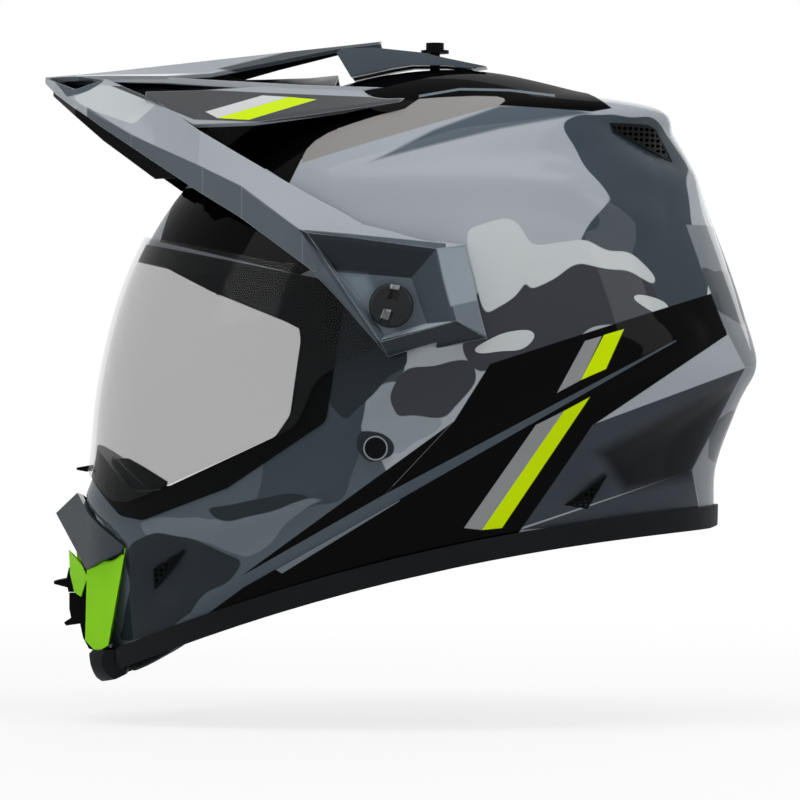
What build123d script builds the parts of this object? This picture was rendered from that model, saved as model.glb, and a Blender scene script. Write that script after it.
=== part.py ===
from build123d import *
import os
from math import copysign, cos, hypot, pi, radians, sin, sqrt, tan

os.makedirs("parts", exist_ok=True)

# Dual sport helmet in its worn position: it faces -X, its left side is -Y and +Z is up.
# X = 0 is halfway along it, Y = 0 is its middle plane and Z = 0 is the lowest point of the chin.

# Outer shell
front_reach = 160.0
rear_reach = 177.0
crown_height = 304.0
half_width = 122.0
shell_wall = 4.0
hull_fullness = 2.2
ring_points = 14
# The smooth form bulges past its widest ring by up to this much
hull_swell = 0.7
widest_height_share = 0.60
# Each level: height, front reach, rear reach and half width, as shares of the four sizes above
level_shares = [
    (0.000, 0.912, 0.850, 0.790),
    (0.080, 0.938, 0.862, 0.824),
    (0.180, 0.969, 0.873, 0.869),
    (0.280, 0.988, 0.884, 0.910),
    (0.350, 0.950, 0.890, 0.937),
    (0.450, 0.931, 0.949, 0.975),
    (0.520, 0.909, 1.000, 0.996),
    (0.600, 0.872, 0.969, 1.000),
    (0.680, 0.816, 0.924, 0.980),
    (0.760, 0.734, 0.870, 0.930),
    (0.830, 0.628, 0.828, 0.848),
    (0.890, 0.500, 0.774, 0.733),
    (0.930, 0.375, 0.737, 0.615),
    (0.960, 0.256, 0.530, 0.472),
    (0.983, 0.119, 0.373, 0.312),
    (0.994, 0.010, 0.280, 0.190),
    (1.000, -0.088, 0.192, 0.070),
]

# Lower edge of the shell: one arc through three places, and the rubber trim on it
edge_front_x, edge_front_z = -150.0, 6.5
edge_middle_x, edge_middle_z = 0.0, 57.5
edge_rear_x, edge_rear_z = 158.5, 82.0
trim_lap = 5.5
trim_height = 11.0
trim_outside = 2.2
trim_inside = 2.5
trim_split_x = -137.0
trim_split_lean = 7.0

# Set down, the helmet leans back on flat facets cut at the chin and at the back of its trim
rest_front_x = -147.0
rest_lean = 14.2

# Eye opening, its rubber gasket and the clear shield over it
eye_reach = 155.0
eye_height = 150.0
eye_floor = 81.0
eye_corner = 7.0
eyeport_shares = [
    (-1.290, 1.007), (-0.129, 0.758), (-0.197, 0.320), (-0.510, 0.107), (-0.787, 0.000),
    (-0.865, 0.013), (-0.987, 0.137), (-1.290, 0.447),
]
window_shares = [
    (-1.290, 0.947), (-0.774, 0.835), (-0.294, 0.727), (-0.274, 0.580), (-0.308, 0.342),
    (-0.355, 0.273), (-0.723, 0.100), (-0.826, 0.093), (-0.916, 0.187), (-1.290, 0.527),
]
shield_shares = [
    (-1.290, 1.030), (-0.323, 0.825), (-0.026, 0.820), (-0.026, 0.560), (-0.226, 0.460),
    (-0.287, 0.303), (-0.826, 0.059), (-0.897, 0.060), (-0.981, 0.140), (-1.290, 0.453),
]
guard_shares = [
    (-1.097, 0.207), (-0.897, 0.193), (-0.787, 0.110), (-0.813, 0.033), (-0.884, 0.033),
    (-1.097, 0.167),
]
gasket_outside = 0.9
gasket_depth = 7.0
shield_gap = 1.3
shield_thickness = 2.2
guard_thickness = 2.6
tab_length = 8.0
tab_reach = 1.0
tab_width = 24.0
tab_height = 4.0
tab_tip_height = 1.2
tab_z = 105.2

# Shield and peak turn on one cross axis, the pivot
pivot_x = 1.6
pivot_z = 184.2
ear_radius = 21.0
hub_diameter = 16.0
hub_flange_diameter = 26.0
hub_flange_thickness = 1.0
running_fit = 0.1
seat_gap = 0.3
insert_diameter = 10.0
insert_length = 9.0
side_screw_diameter = 6.0
side_head_diameter = 21.0
side_head_height = 4.7
side_head_round = 1.8
side_slot_width = 4.6
side_slot_depth = 2.6
side_post_diameter = 6.4
side_slot_lean = 20.0
screw_fit = 0.05

# Peak: outlines are shares of its reach ahead of the pivot, its half width and its rise above it
peak_reach = 180.0
peak_half_width = 137.0
peak_rise = 135.0
peak_wall = 2.2
peak_liner_wall = 2.0
arm_shares = [
    (-0.996, [(0.015, 0.864), (0.022, 0.853), (0.023, 0.844)]),
    (-0.953, [(0.197, 0.839), (0.212, 0.813), (0.215, 0.796)]),
    (-0.887, [(0.328, 0.803), (0.380, 0.759), (0.387, 0.736)]),
    (-0.806, [(0.296, 0.843), (0.460, 0.692), (0.456, 0.658)]),
    (-0.653, [(0.474, 0.751), (0.588, 0.584), (0.580, 0.524)]),
    (-0.526, [(0.642, 0.634), (0.708, 0.507), (0.708, 0.413)]),
    (-0.414, [(0.708, 0.545), (0.781, 0.431), (0.774, 0.322)]),
    (-0.281, [(0.788, 0.441), (0.872, 0.302), (0.869, 0.193)]),
    (-0.209, [(0.825, 0.387), (0.909, 0.243), (0.898, 0.122)]),
    (-0.142, [(0.853, 0.340), (0.928, 0.226), (0.920, 0.120)]),
    (-0.081, [(0.883, 0.292), (0.940, 0.212), (0.932, 0.120)]),
]
panel_shares = [
    (-0.687, [(0.423, 0.788), (0.442, 0.778), (0.456, 0.764)]),
    (-0.548, [(0.405, 0.793), (0.540, 0.696), (0.584, 0.660)]),
    (-0.381, [(0.384, 0.807), (0.562, 0.690), (0.584, 0.667)]),
    (-0.234, [(0.416, 0.796), (0.562, 0.709), (0.577, 0.693)]),
    (0.006, [(0.457, 0.785), (0.555, 0.750), (0.566, 0.739)]),
    (0.049, [(0.507, 0.767), (0.533, 0.761), (0.540, 0.756)]),
]
rim_shares = [
    (-0.842, [(0.270, 0.856), (0.274, 0.833)]),
    (-0.640, [(0.307, 0.847), (0.312, 0.825)]),
    (-0.434, [(0.365, 0.828), (0.371, 0.803)]),
    (-0.263, [(0.409, 0.812), (0.415, 0.787)]),
    (0.013, [(0.460, 0.796), (0.466, 0.772)]),
    (0.044, [(0.489, 0.779), (0.495, 0.763)]),
]
roof_shares = [
    (-0.995, [(0.000, 0.868), (0.029, 0.864)]),
    (-0.887, [(0.000, 0.879), (0.263, 0.855)]),
    (-0.803, [(0.000, 0.890), (0.282, 0.856)]),
    (-0.637, [(0.000, 0.914), (0.311, 0.852)]),
    (-0.520, [(0.000, 0.931), (0.270, 0.864)]),
    (-0.353, [(0.000, 0.955), (0.146, 0.916)]),
    (-0.181, [(0.000, 0.979), (0.066, 0.967)]),
    (-0.059, [(0.000, 0.997), (0.044, 0.985)]),
]
liner_front_shares = [
    (-0.964, [(0.000, 0.843), (0.088, 0.836), (0.124, 0.825), (0.135, 0.813), (0.139, 0.791)]),
    (-0.887, [(0.000, 0.839), (0.219, 0.818), (0.292, 0.791), (0.343, 0.756), (0.350, 0.706)]),
    (-0.803, [(0.000, 0.844), (0.241, 0.818), (0.277, 0.795), (0.423, 0.676), (0.427, 0.610)]),
    (-0.653, [(0.000, 0.853), (0.285, 0.816), (0.445, 0.727), (0.552, 0.569), (0.544, 0.465)]),
    (-0.509, [(0.000, 0.855), (0.314, 0.797), (0.606, 0.617), (0.672, 0.520), (0.688, 0.470)]),
]
liner_rear_shares = [
    (-0.531, [(0.000, 0.855), (0.314, 0.798), (0.533, 0.662)]),
    (-0.381, [(0.000, 0.857), (0.343, 0.796), (0.533, 0.670)]),
    (-0.259, [(0.000, 0.862), (0.380, 0.788), (0.511, 0.705)]),
    (-0.181, [(0.000, 0.872), (0.394, 0.788), (0.482, 0.728)]),
]
tail_shares = [
    (-0.178, 0.943), (-0.139, 0.856), (-0.023, 0.889), (0.030, 0.900), (0.122, 0.900),
    (0.188, 0.889), (0.233, 0.898), (0.124, 0.927), (0.055, 0.947), (-0.076, 0.964),
    (-0.164, 0.959),
]
tail_front_width = 50.0
tail_rear_width = 26.0
tail_wall = 2.2

# Peak pods round the pivot
pod_length = 92.0
pod_height = 72.0
pod_root_out = 97.6
pod_foot_out = 121.0
pod_ridge_out = 135.3
pod_ridge_flat = 0.9
pod_floor_out = 130.4
pod_floor_wall = 2.2
pod_wall = 2.6
pod_shell_gap = 0.8
pod_shield_gap = 0.6
# Raised places of the shield, in degrees, for which the pods leave room
shield_lifts = (17.0, 22.5, 28.0, 34.0)
pod_foot_shares = [
    (-0.479, 0.511), (-0.158, 0.546), (0.173, 0.442), (0.374, 0.407), (0.499, -0.218),
    (0.002, -0.387), (-0.170, -0.149), (-0.398, 0.199),
]
pod_ridge_shares = [
    (-0.436, 0.483), (-0.235, 0.456), (0.070, 0.404), (0.238, 0.376), (0.341, -0.101),
    (-0.057, -0.242), (-0.148, -0.072), (-0.311, 0.240),
]
pod_floor_shares = [
    (-0.288, 0.225), (-0.148, 0.210), (0.004, 0.193), (0.115, 0.178), (0.183, -0.119),
    (-0.029, -0.204), (-0.104, -0.058), (-0.202, 0.101),
]

# Top screw of the peak
top_screw_x = 17.5
top_screw_diameter = 5.0
top_head_diameter = 9.0
top_head_height = 3.4
top_slot_width = 1.4
top_slot_depth = 1.6
washer_diameter = 14.0
washer_thickness = 1.6
washer_floor = 312.6
top_thread_fit = 0.05
top_slot_travel = 10.0
top_insert_diameter = 9.0
top_insert_length = 8.0
top_insert_z = 296.0

# Vents
mesh_thickness = 1.2
mesh_sink = 1.0
mesh_hole = 1.9
mesh_pitch = 2.7
mesh_border = 0.9
upper_vent_shares = [
    (0.593, 0.903), (0.701, 0.903), (0.723, 0.896), (0.768, 0.842), (0.605, 0.888),
]
lower_vent_shares = [
    (0.471, 0.293), (0.588, 0.340), (0.533, 0.286),
]
chin_side_vent_shares = [
    (-0.731, 0.189), (-0.628, 0.219), (-0.731, 0.156),
]

# Chin vent block on the front of the chin bar
vent_x = -150.0
vent_z = 13.0
vent_depth = 22.7
vent_height = 80.0
cover_thickness = 2.4
# Each cover station: half width, then the upper and lower edge as shares of depth and height
cover_stations_shares = [
    (-1.000, (0.793, 0.688), (0.705, 0.650)),
    (-0.770, (0.198, 0.806), (0.167, 0.588)),
    (-0.545, (-0.110, 0.875), (-0.159, 0.531)),
    (0.000, (-0.529, 1.000), (-1.000, 0.873)),
    (0.545, (-0.110, 0.875), (-0.159, 0.531)),
    (0.770, (0.198, 0.806), (0.167, 0.588)),
    (1.000, (0.793, 0.688), (0.705, 0.650)),
]
cover_half_width = 66.0
wedge_shares = [
    (-0.150, 0.529), (0.837, 0.681), (0.396, 0.075), (0.101, 0.025), (-0.194, 0.095),
]
flange_shares = [
    (-0.630, 0.650), (-0.286, 0.562), (-0.132, 0.487), (-0.308, 0.362), (-0.485, 0.388),
    (-0.599, 0.500),
]
wedge_front_out = 36.0
wedge_spread = 1.4
wedge_inner_out = 24.0
wedge_lip = 3.0
flange_inner_out = 17.5
flange_thickness = 2.6
grille_shares = [
    (-0.634, 0.380), (-0.634, 0.281), (-0.595, 0.225), (-0.749, 0.196), (-0.705, 0.175),
    (-0.396, 0.188), (-0.330, 0.100), (-0.198, 0.031), (0.000, 0.019), (0.000, 0.662),
    (-0.088, 0.662), (-0.088, 0.380),
]
slider_shares = [
    (-0.652, 0.537), (-0.705, 0.469), (-0.982, 0.454), (-0.982, 0.434), (-0.683, 0.412),
    (-0.661, 0.384), (-0.176, 0.384), (-0.176, 0.537),
]
slider_top_share = 0.537
grille_width = 30.0
grille_plate_width = 42.0
slider_width = 26.0
slider_travel = 8.0
slider_room = 2.6
grille_plate_thickness = 2.2
mouth_side_gap = 0.3
mouth_floor = 14.0
mouth_depth = 30.0
slat_height = 3.0
slat_pitch = 6.0
slat_width = 22.0
slat_count = 8
slat_floor = 20.0

# Chin skirt and curtain
skirt_shares = [
    (-0.950, 0.047), (-0.944, 0.030), (-0.931, 0.007), (-0.909, -0.005), (-0.831, 0.015),
    (-0.816, 0.033), (-0.856, 0.056), (-0.938, 0.053),
]
curtain_shares = [
    (-0.834, 0.026), (-0.812, 0.018), (-0.762, 0.031), (-0.700, 0.049), (-0.650, 0.069),
    (-0.656, 0.077), (-0.706, 0.058), (-0.769, 0.039),
]
skirt_outside = 5.0
skirt_inside = 9.0
skirt_half_width = 52.0
curtain_half_width = 50.0

# Foam, slip liner and pads inside the shell
foam_gap = 0.3
foam_thickness = 34.0
slip_thickness = 0.9
pad_thickness = 7.0
cheek_foam_thickness = 30.0
chin_foam_thickness = 16.0
chin_foam_half_gap = 24.0
neck_thickness = 26.0
liner_cut_shares = [
    (-1.250, 0.704), (-0.738, 0.681), (-0.550, 0.632), (-0.312, 0.582), (-0.206, 0.553),
    (-0.150, 0.424), (0.375, 0.401), (1.250, 0.382), (1.250, -0.164), (-1.250, -0.164),
]
brow_cut_shares = [
    (-1.250, 0.697), (-0.738, 0.674), (-0.550, 0.625), (-0.312, 0.576), (-0.212, 0.553),
    (-0.212, 0.954), (-1.250, 0.954),
]
crown_cut_shares = [
    (-0.194, 0.586), (0.125, 0.493), (1.000, 0.493), (1.188, 0.954), (-0.194, 0.954),
]
cheek_shares = [
    (-0.594, 0.141), (-0.588, 0.250), (-0.494, 0.289), (-0.225, 0.385), (-0.175, 0.388),
    (-0.175, 0.224),
]
chin_foam_shares = [
    (-1.125, 0.079), (-0.609, 0.138), (-0.609, 0.237), (-0.762, 0.247), (-0.850, 0.253),
    (-0.969, 0.309), (-1.125, 0.362),
]
neck_shares = [
    (0.163, 0.276), (0.163, 0.395), (0.375, 0.393), (1.250, 0.373), (1.250, 0.326),
]
cheek_pad_crown = 16.0
cheek_pad_draw_in = 7.0
cheek_pad_edge = 5.0

# Chin strap, its rivets and rings
rivet_x = -6.6
rivet_z = 116.5
rivet_cap_diameter = 12.0
rivet_cap_out = 117.0
rivet_root_out = 108.4
rivet_shank_diameter = 5.0
rivet_fit = 0.1
anchor_diameter = 20.0
anchor_thickness = 1.2
anchor_out = 110.0
strap_width = 25.0
strap_thickness = 1.6
strap_top_z = 121.0
strap_bend_out, strap_bend_z = 105.0, 99.0
strap_jaw_out, strap_jaw_z = 66.0, 63.0
strap_low_z = 54.5
strap_end_out, strap_end_z = -34.0, 57.5
strap_bend_radius = 12.0
loop_out, loop_z = 72.0, 69.2
loop_outer_width, loop_outer_height = 7.2, 10.6
loop_wall = 1.4
ring_wire = 2.6
ring_width = 33.0
ring_length = 16.0
ring_corner = 5.0
ring_spacing = 3.3

# The gap that soft and loose pieces keep from the ones that carry them is seat_gap or foam_gap.
# These two overruns take every cut right through.
cut_width = 400.0
cut_reach = 400.0


def power(value):
    """One axis of a rounded rectangle's edge, which hull_fullness makes fuller than an ellipse"""
    return copysign(abs(value) ** (2 / hull_fullness), value)


def hull(move_out):
    """The shell's outer form, closed and solid, with its surface moved outward by move_out"""
    with BuildPart() as form:
        for height_share, front_share, rear_share, width_share in level_shares:
            lean = width_share if height_share > widest_height_share else 1
            rise = sqrt(1 - lean**2)
            middle = (rear_reach * rear_share - front_reach * front_share) / 2
            length = (rear_reach * rear_share + front_reach * front_share) / 2 + move_out * lean
            width = half_width * width_share + move_out * lean
            turns = [2 * pi * i / ring_points for i in range(ring_points)]
            with BuildSketch(Plane.XY.offset(crown_height * height_share + move_out * rise)):
                with BuildLine():
                    Spline(
                        *[(middle + length * power(cos(t)), width * power(sin(t))) for t in turns],
                        periodic=True,
                    )
                make_face()
        loft()
    return form.part


def side_points(shares, x_size, z_size, x_start=0, z_start=0):
    """Points of a side-view outline from its shares"""
    return [(x_start + x_size * x, z_start + z_size * z) for x, z in shares]


def across(points, corner=0, width=cut_width):
    """A bar across the helmet with the given side-view outline"""
    with BuildPart() as bar:
        with BuildSketch(Plane.XZ) as outline:
            with BuildLine():
                Polyline(*points, close=True)
            make_face()
            if corner:
                fillet(outline.vertices(), corner)
        extrude(amount=width / 2, both=True)
    return bar.part


def upright(points):
    """An upright bar with the given outline seen from above"""
    with BuildPart() as bar:
        with BuildSketch():
            with BuildLine():
                Polyline(*points, close=True)
            make_face()
        extrude(amount=cut_reach)
    return bar.part


def layer(outside, inside, outline):
    """The part of the hull between two depths that lies inside an outline across the helmet"""
    with BuildPart() as skin:
        add(hull(outside))
        add(hull(inside), mode=Mode.SUBTRACT)
        add(outline, mode=Mode.INTERSECT)
    return skin.part


def half_space(x_align, y_align, x=0):
    """A large block that lies on one side of x, or of the middle plane, as its two aligns say"""
    with BuildPart() as block:
        with Locations((x, 0, 0)):
            Box(2 * cut_reach, 2 * cut_width, 2 * cut_reach, align=(x_align, y_align, Align.CENTER))
    return block.part


def save(part, name):
    """Labels a finished piece and writes it"""
    part.label = name
    export_step(part, f"parts/{name}.step")


def disc(out, inward, diameter, side, x=pivot_x, z=pivot_z):
    """A disc or pin across the helmet: its outer face is at out, and it reaches inward"""
    with BuildPart() as pin:
        with BuildSketch(Plane((x, side * out, z), x_dir=(1, 0, 0), z_dir=(0, -side, 0))):
            Circle(diameter / 2)
        extrude(amount=inward)
    return pin.part


def mirrored(part):
    """The same piece on the other side of the helmet"""
    with BuildPart() as other:
        mirror(part, about=Plane.XZ)
    return other.part


# Edge arcs
edge_ends = [(edge_front_x, edge_front_z), (edge_middle_x, edge_middle_z), (edge_rear_x, edge_rear_z)]


def below_edge(raise_by):
    """Everything under the arc of the shell's lower edge, raised by a height"""
    with BuildPart() as under:
        with BuildSketch(Plane.XZ):
            with BuildLine():
                arc = ThreePointArc(*[(x, z + raise_by) for x, z in edge_ends])
                start, end = arc @ 0, arc @ 1
                Polyline(
                    end,
                    (cut_reach, end.Y + (cut_reach - end.X) * (arc % 1).Y / (arc % 1).X),
                    (cut_reach, -cut_reach),
                    (-cut_reach, -cut_reach),
                    (-cut_reach, start.Y - (cut_reach + start.X) * (arc % 0).Y / (arc % 0).X),
                    start,
                )
            make_face()
        extrude(amount=cut_width / 2, both=True)
    return under.part


def eye(shares, corner=0):
    """A bar across the helmet from an outline of the eye opening"""
    return across(side_points(shares, eye_reach, eye_height, 0, eye_floor), corner)


eye_hole = eye(eyeport_shares, eye_corner)
window_hole = eye(window_shares, eye_corner)
shell_under = below_edge(0)
trim_over = below_edge(trim_lap)
trim_under = below_edge(trim_lap - trim_height)
rest_slope = tan(radians(rest_lean))
under_rest = across([
    (-cut_reach, rest_slope * (-cut_reach - rest_front_x)),
    (cut_reach, rest_slope * (cut_reach - rest_front_x)),
    (cut_reach, -cut_reach),
    (-cut_reach, -cut_reach),
])

vent_outlines = {
    "rear_upper_meshes": side_points(upper_vent_shares, rear_reach, crown_height),
    "rear_lower_meshes": side_points(lower_vent_shares, rear_reach, crown_height),
    "chin_side_meshes": side_points(chin_side_vent_shares, front_reach, crown_height),
}

# Opening of the shell behind the chin vent: it is as wide as the grille's plate and its gaps, and as
# tall as the raised slider needs
mouth_width = grille_plate_width + 2 * mouth_side_gap
mouth_top = vent_z + vent_height * slider_top_share + slider_travel + slider_room
with BuildPart() as mouth:
    with Locations((vent_x, 0, mouth_floor)):
        Box(2 * mouth_depth, mouth_width, mouth_top - mouth_floor,
            align=(Align.CENTER, Align.CENTER, Align.MIN))

# Outer shell
with BuildPart() as outer_shell:
    add(hull(0))
    add(hull(-shell_wall), mode=Mode.SUBTRACT)
    add(eye_hole, mode=Mode.SUBTRACT)
    add(shell_under, mode=Mode.SUBTRACT)
    for points in vent_outlines.values():
        add(across(points), mode=Mode.SUBTRACT)
    add(mouth.part, mode=Mode.SUBTRACT)
    for side in (-1, 1):
        add(disc(cut_width, cut_width - half_width + insert_length, insert_diameter, side),
            mode=Mode.SUBTRACT)
        add(
            disc(half_width * 2, half_width * 2 - rivet_root_out, rivet_cap_diameter + 2 * rivet_fit,
                 side, rivet_x, rivet_z),
            mode=Mode.SUBTRACT,
        )
    with Locations((top_screw_x, 0, top_insert_z)):
        Cylinder(top_insert_diameter / 2, cut_width, align=(Align.CENTER, Align.CENTER, Align.MIN),
                 mode=Mode.SUBTRACT)
save(outer_shell.part, "outer_shell")

# Rubber trim on the lower edge, ahead of which the chin skirt begins
trim_end = across([
    (trim_split_x, edge_middle_z),
    (trim_split_x, edge_front_z + trim_lap),
    (trim_split_x + trim_split_lean, edge_front_z - trim_lap),
    (trim_split_x + trim_split_lean, -cut_reach),
    (-cut_reach, -cut_reach),
    (-cut_reach, edge_middle_z),
])
with BuildPart() as edge_trim:
    add(hull(trim_outside))
    add(hull(-shell_wall - trim_inside), mode=Mode.SUBTRACT)
    add(trim_over, mode=Mode.INTERSECT)
    add(trim_under, mode=Mode.SUBTRACT)
    add(outer_shell.part, mode=Mode.SUBTRACT)
    add(trim_end, mode=Mode.SUBTRACT)
    add(under_rest, mode=Mode.SUBTRACT)
save(edge_trim.part, "edge_trim")

# Black skirt that closes the front of the chin, and the soft curtain behind it
with BuildPart() as chin_skirt:
    add(hull(skirt_outside))
    add(hull(-skirt_inside), mode=Mode.SUBTRACT)
    add(across(side_points(skirt_shares, front_reach, crown_height), 0, 2 * skirt_half_width),
        mode=Mode.INTERSECT)
    add(outer_shell.part, mode=Mode.SUBTRACT)
    add(edge_trim.part, mode=Mode.SUBTRACT)
    add(under_rest, mode=Mode.SUBTRACT)
save(chin_skirt.part, "chin_skirt")

with BuildPart() as chin_curtain:
    add(hull(-skirt_inside - seat_gap))
    add(across(side_points(curtain_shares, front_reach, crown_height), 0, 2 * curtain_half_width),
        mode=Mode.INTERSECT)
save(chin_curtain.part, "chin_curtain")

# Gasket round the eye opening, breath guard behind it, and the shield
with BuildPart() as eyeport_gasket:
    add(layer(gasket_outside, -gasket_depth, eye_hole))
    add(window_hole, mode=Mode.SUBTRACT)
save(eyeport_gasket.part, "eyeport_gasket")

with BuildPart() as breath_guard:
    add(layer(-gasket_depth - seat_gap, -gasket_depth - seat_gap - guard_thickness,
              eye(guard_shares)))
save(breath_guard.part, "breath_guard")

shield_outside = shield_gap + shield_thickness
with BuildPart() as shield_outline:
    add(eye(shield_shares, eye_corner))
    with BuildSketch(Plane.XZ):
        with Locations((pivot_x, pivot_z)):
            Circle(ear_radius)
    extrude(amount=cut_width / 2, both=True)
with BuildPart() as face_shield:
    add(layer(shield_outside, shield_gap, shield_outline.part))
    for side in (-1, 1):
        add(disc(half_width * 2, half_width, hub_diameter + 2 * running_fit, side), mode=Mode.SUBTRACT)
save(face_shield.part, "face_shield")

# The tab that lifts the shield, at the middle of its lower edge
with BuildPart() as shield_lift_tab:
    with BuildSketch(Plane.XZ):
        with BuildLine():
            Polyline(
                (-front_reach - tab_reach, tab_z + tab_tip_height / 2),
                (-front_reach - tab_reach, tab_z - tab_tip_height / 2),
                (-front_reach - tab_reach + tab_length, tab_z - tab_height / 2),
                (-front_reach - tab_reach + tab_length, tab_z + tab_height / 2),
                close=True,
            )
        make_face()
    extrude(amount=tab_width / 2, both=True)
    add(hull(shield_outside), mode=Mode.SUBTRACT)
save(shield_lift_tab.part, "shield_lift_tab")

# Pivots: a threaded insert in the shell and a flanged hub that the shield turns on
hub_root = half_width + hull_swell
hub_top = hub_root + shield_outside + seat_gap
for side, name in ((-1, "left"), (1, "right")):
    with BuildPart() as shield_hub:
        add(disc(hub_top, hub_top - hub_root, hub_diameter, side))
        add(disc(hub_top + hub_flange_thickness, hub_flange_thickness, hub_flange_diameter, side))
        add(disc(cut_width, cut_width, side_screw_diameter + 2 * running_fit, side),
            mode=Mode.SUBTRACT)
    save(shield_hub.part, f"shield_hub_{name}")

with BuildPart() as side_inserts:
    for side in (-1, 1):
        add(disc(half_width, insert_length, insert_diameter, side))
        add(disc(cut_width, cut_width, side_screw_diameter + 2 * screw_fit, side),
            mode=Mode.SUBTRACT)
save(side_inserts.part, "side_inserts")


def peak_place(shares):
    """Turns rows of peak shares into (x, points) with the points in a plane across the helmet"""
    return [
        (
            pivot_x + peak_reach * reach_share,
            [(peak_half_width * y, pivot_z + peak_rise * z) for y, z in point_shares],
        )
        for reach_share, point_shares in shares
    ]


def thick_line(points, wall):
    """A line of (y, z) points and the same line moved inward by a wall, as one closed outline"""
    normals = []
    for (start_y, start_z), (end_y, end_z) in zip(points, points[1:]):
        run = hypot(end_y - start_y, end_z - start_z)
        normals.append(((end_z - start_z) / run, (start_y - end_y) / run))
    inner = []
    for (y, z), before, after in zip(points, normals[:1] + normals, normals + normals[-1:]):
        mean = (before[0] + after[0], before[1] + after[1]) if y else (0, -1)
        reach = wall / (mean[0] * before[0] + mean[1] * before[1])
        inner.append((y + mean[0] * reach, z + mean[1] * reach))
    return points + inner[::-1]


def strip(shares, wall):
    """One side's folded strip of sheet through the stations of a table, on the right"""
    with BuildPart() as sheet:
        for x, points in peak_place(shares):
            with BuildSketch(Plane.YZ.offset(x)):
                with BuildLine():
                    Polyline(*thick_line(points, wall), close=True)
                make_face()
        loft(ruled=True)
    return sheet.part


def pod_points(shares):
    """Side-view points of the pod from shares measured from the pivot"""
    return side_points(shares, pod_length, pod_height, pivot_x, pivot_z)


def flat_face(points, out, inset=0):
    """A face parallel to the middle plane, on the right, drawn in by an inset"""
    with BuildSketch(Plane((0, out, 0), x_dir=(1, 0, 0), z_dir=(0, -1, 0))) as face:
        with BuildLine():
            Polyline(*points, close=True)
        make_face()
        if inset:
            offset(amount=-inset, kind=Kind.INTERSECTION)
    return face.sketch


# One pod: a raised rim round a sunk floor, hollow behind, open in front for the shield
pod_foot = pod_points(pod_foot_shares)
pod_ridge = pod_points(pod_ridge_shares)
pod_floor = pod_points(pod_floor_shares)
hollow_out = pod_floor_out - pod_floor_wall
hollow_share = (hollow_out - pod_foot_out) / (pod_ridge_out - pod_foot_out)
pod_hollow = [
    (foot_x + hollow_share * (ridge_x - foot_x), foot_z + hollow_share * (ridge_z - foot_z))
    for (foot_x, foot_z), (ridge_x, ridge_z) in zip(pod_foot, pod_ridge)
]
with BuildPart() as pod:
    extrude(flat_face(pod_foot, pod_foot_out), amount=pod_foot_out - pod_root_out, dir=(0, -1, 0))
    loft([flat_face(pod_foot, pod_foot_out), flat_face(pod_ridge, pod_ridge_out)], ruled=True)
    loft([flat_face(pod_ridge, pod_ridge_out + pod_ridge_flat), flat_face(pod_floor, pod_floor_out)],
         ruled=True, mode=Mode.SUBTRACT)
    loft([flat_face(pod_hollow, hollow_out, pod_wall), flat_face(pod_foot, pod_foot_out, pod_wall)],
         ruled=True, mode=Mode.SUBTRACT)
    extrude(flat_face(pod_foot, pod_foot_out, pod_wall), amount=half_width, dir=(0, -1, 0),
            mode=Mode.SUBTRACT)
with BuildPart() as pod_clearance:
    add(hull(shield_outside + pod_shield_gap))
    add(half_space(Align.MAX, Align.CENTER, pivot_x + ear_radius), mode=Mode.INTERSECT)
    add(hull(pod_shell_gap))

# The raised shield needs room in the pods too
pivot_axis = Axis((pivot_x, 0, pivot_z), (0, 1, 0))
with BuildPart() as shield_room:
    add(hull(shield_outside + pod_shield_gap))
    add(half_space(Align.CENTER, Align.MIN), mode=Mode.INTERSECT)
    add(shield_outline.part, mode=Mode.INTERSECT)
with BuildPart() as cleared_pod:
    add(pod.part)
    add(pod_clearance.part, mode=Mode.SUBTRACT)
    for lift in shield_lifts:
        add(shield_room.part.rotate(pivot_axis, lift), mode=Mode.SUBTRACT)

# Peak: arms, top panels, rims, roof and pods in one moulding
with BuildPart() as peak_half:
    add(strip(arm_shares, peak_wall))
    add(strip(panel_shares, peak_wall))
    add(strip(rim_shares, peak_wall))
    add(strip(roof_shares, peak_wall))
    add(pod_clearance.part, mode=Mode.SUBTRACT)
    add(cleared_pod.part)
    add(disc(cut_width, cut_width, side_screw_diameter + 2 * running_fit, 1), mode=Mode.SUBTRACT)
with BuildPart() as peak:
    add(peak_half.part)
    mirror(about=Plane.XZ)
save(peak.part, "peak")

with BuildPart() as peak_liner:
    add(strip(liner_front_shares, peak_liner_wall))
    add(strip(liner_rear_shares, peak_liner_wall))
    mirror(about=Plane.XZ)
save(peak_liner.part, "peak_liner")

# Tail of the peak: a hollow wedge over the crown, slotted for the top screw
tail_points = side_points(tail_shares, peak_reach, peak_rise, pivot_x, pivot_z)
tail_front_x = min(x for x, z in tail_points)
tail_rear_x = max(x for x, z in tail_points)
tail_plan = [
    (tail_front_x, -tail_front_width / 2),
    (tail_rear_x, -tail_rear_width / 2),
    (tail_rear_x, tail_rear_width / 2),
    (tail_front_x, tail_front_width / 2),
]
with BuildPart() as peak_tail:
    add(across(tail_points, 0, tail_front_width))
    add(upright(tail_plan), mode=Mode.INTERSECT)
    for drop in (tail_wall, 2 * tail_wall):
        hollow_points = [(x, z - drop) for x, z in tail_points]
        add(across(hollow_points, 0, tail_rear_width - 2 * tail_wall), mode=Mode.SUBTRACT)
    with BuildSketch(Plane.XY.offset(crown_height - top_insert_length)):
        with Locations((top_screw_x + top_slot_travel / 2, 0)):
            SlotOverall(top_screw_diameter + 2 * running_fit + top_slot_travel,
                        top_screw_diameter + 2 * running_fit)
    extrude(amount=cut_reach, mode=Mode.SUBTRACT)
    add(peak.part, mode=Mode.SUBTRACT)
save(peak_tail.part, "peak_tail")

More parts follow.
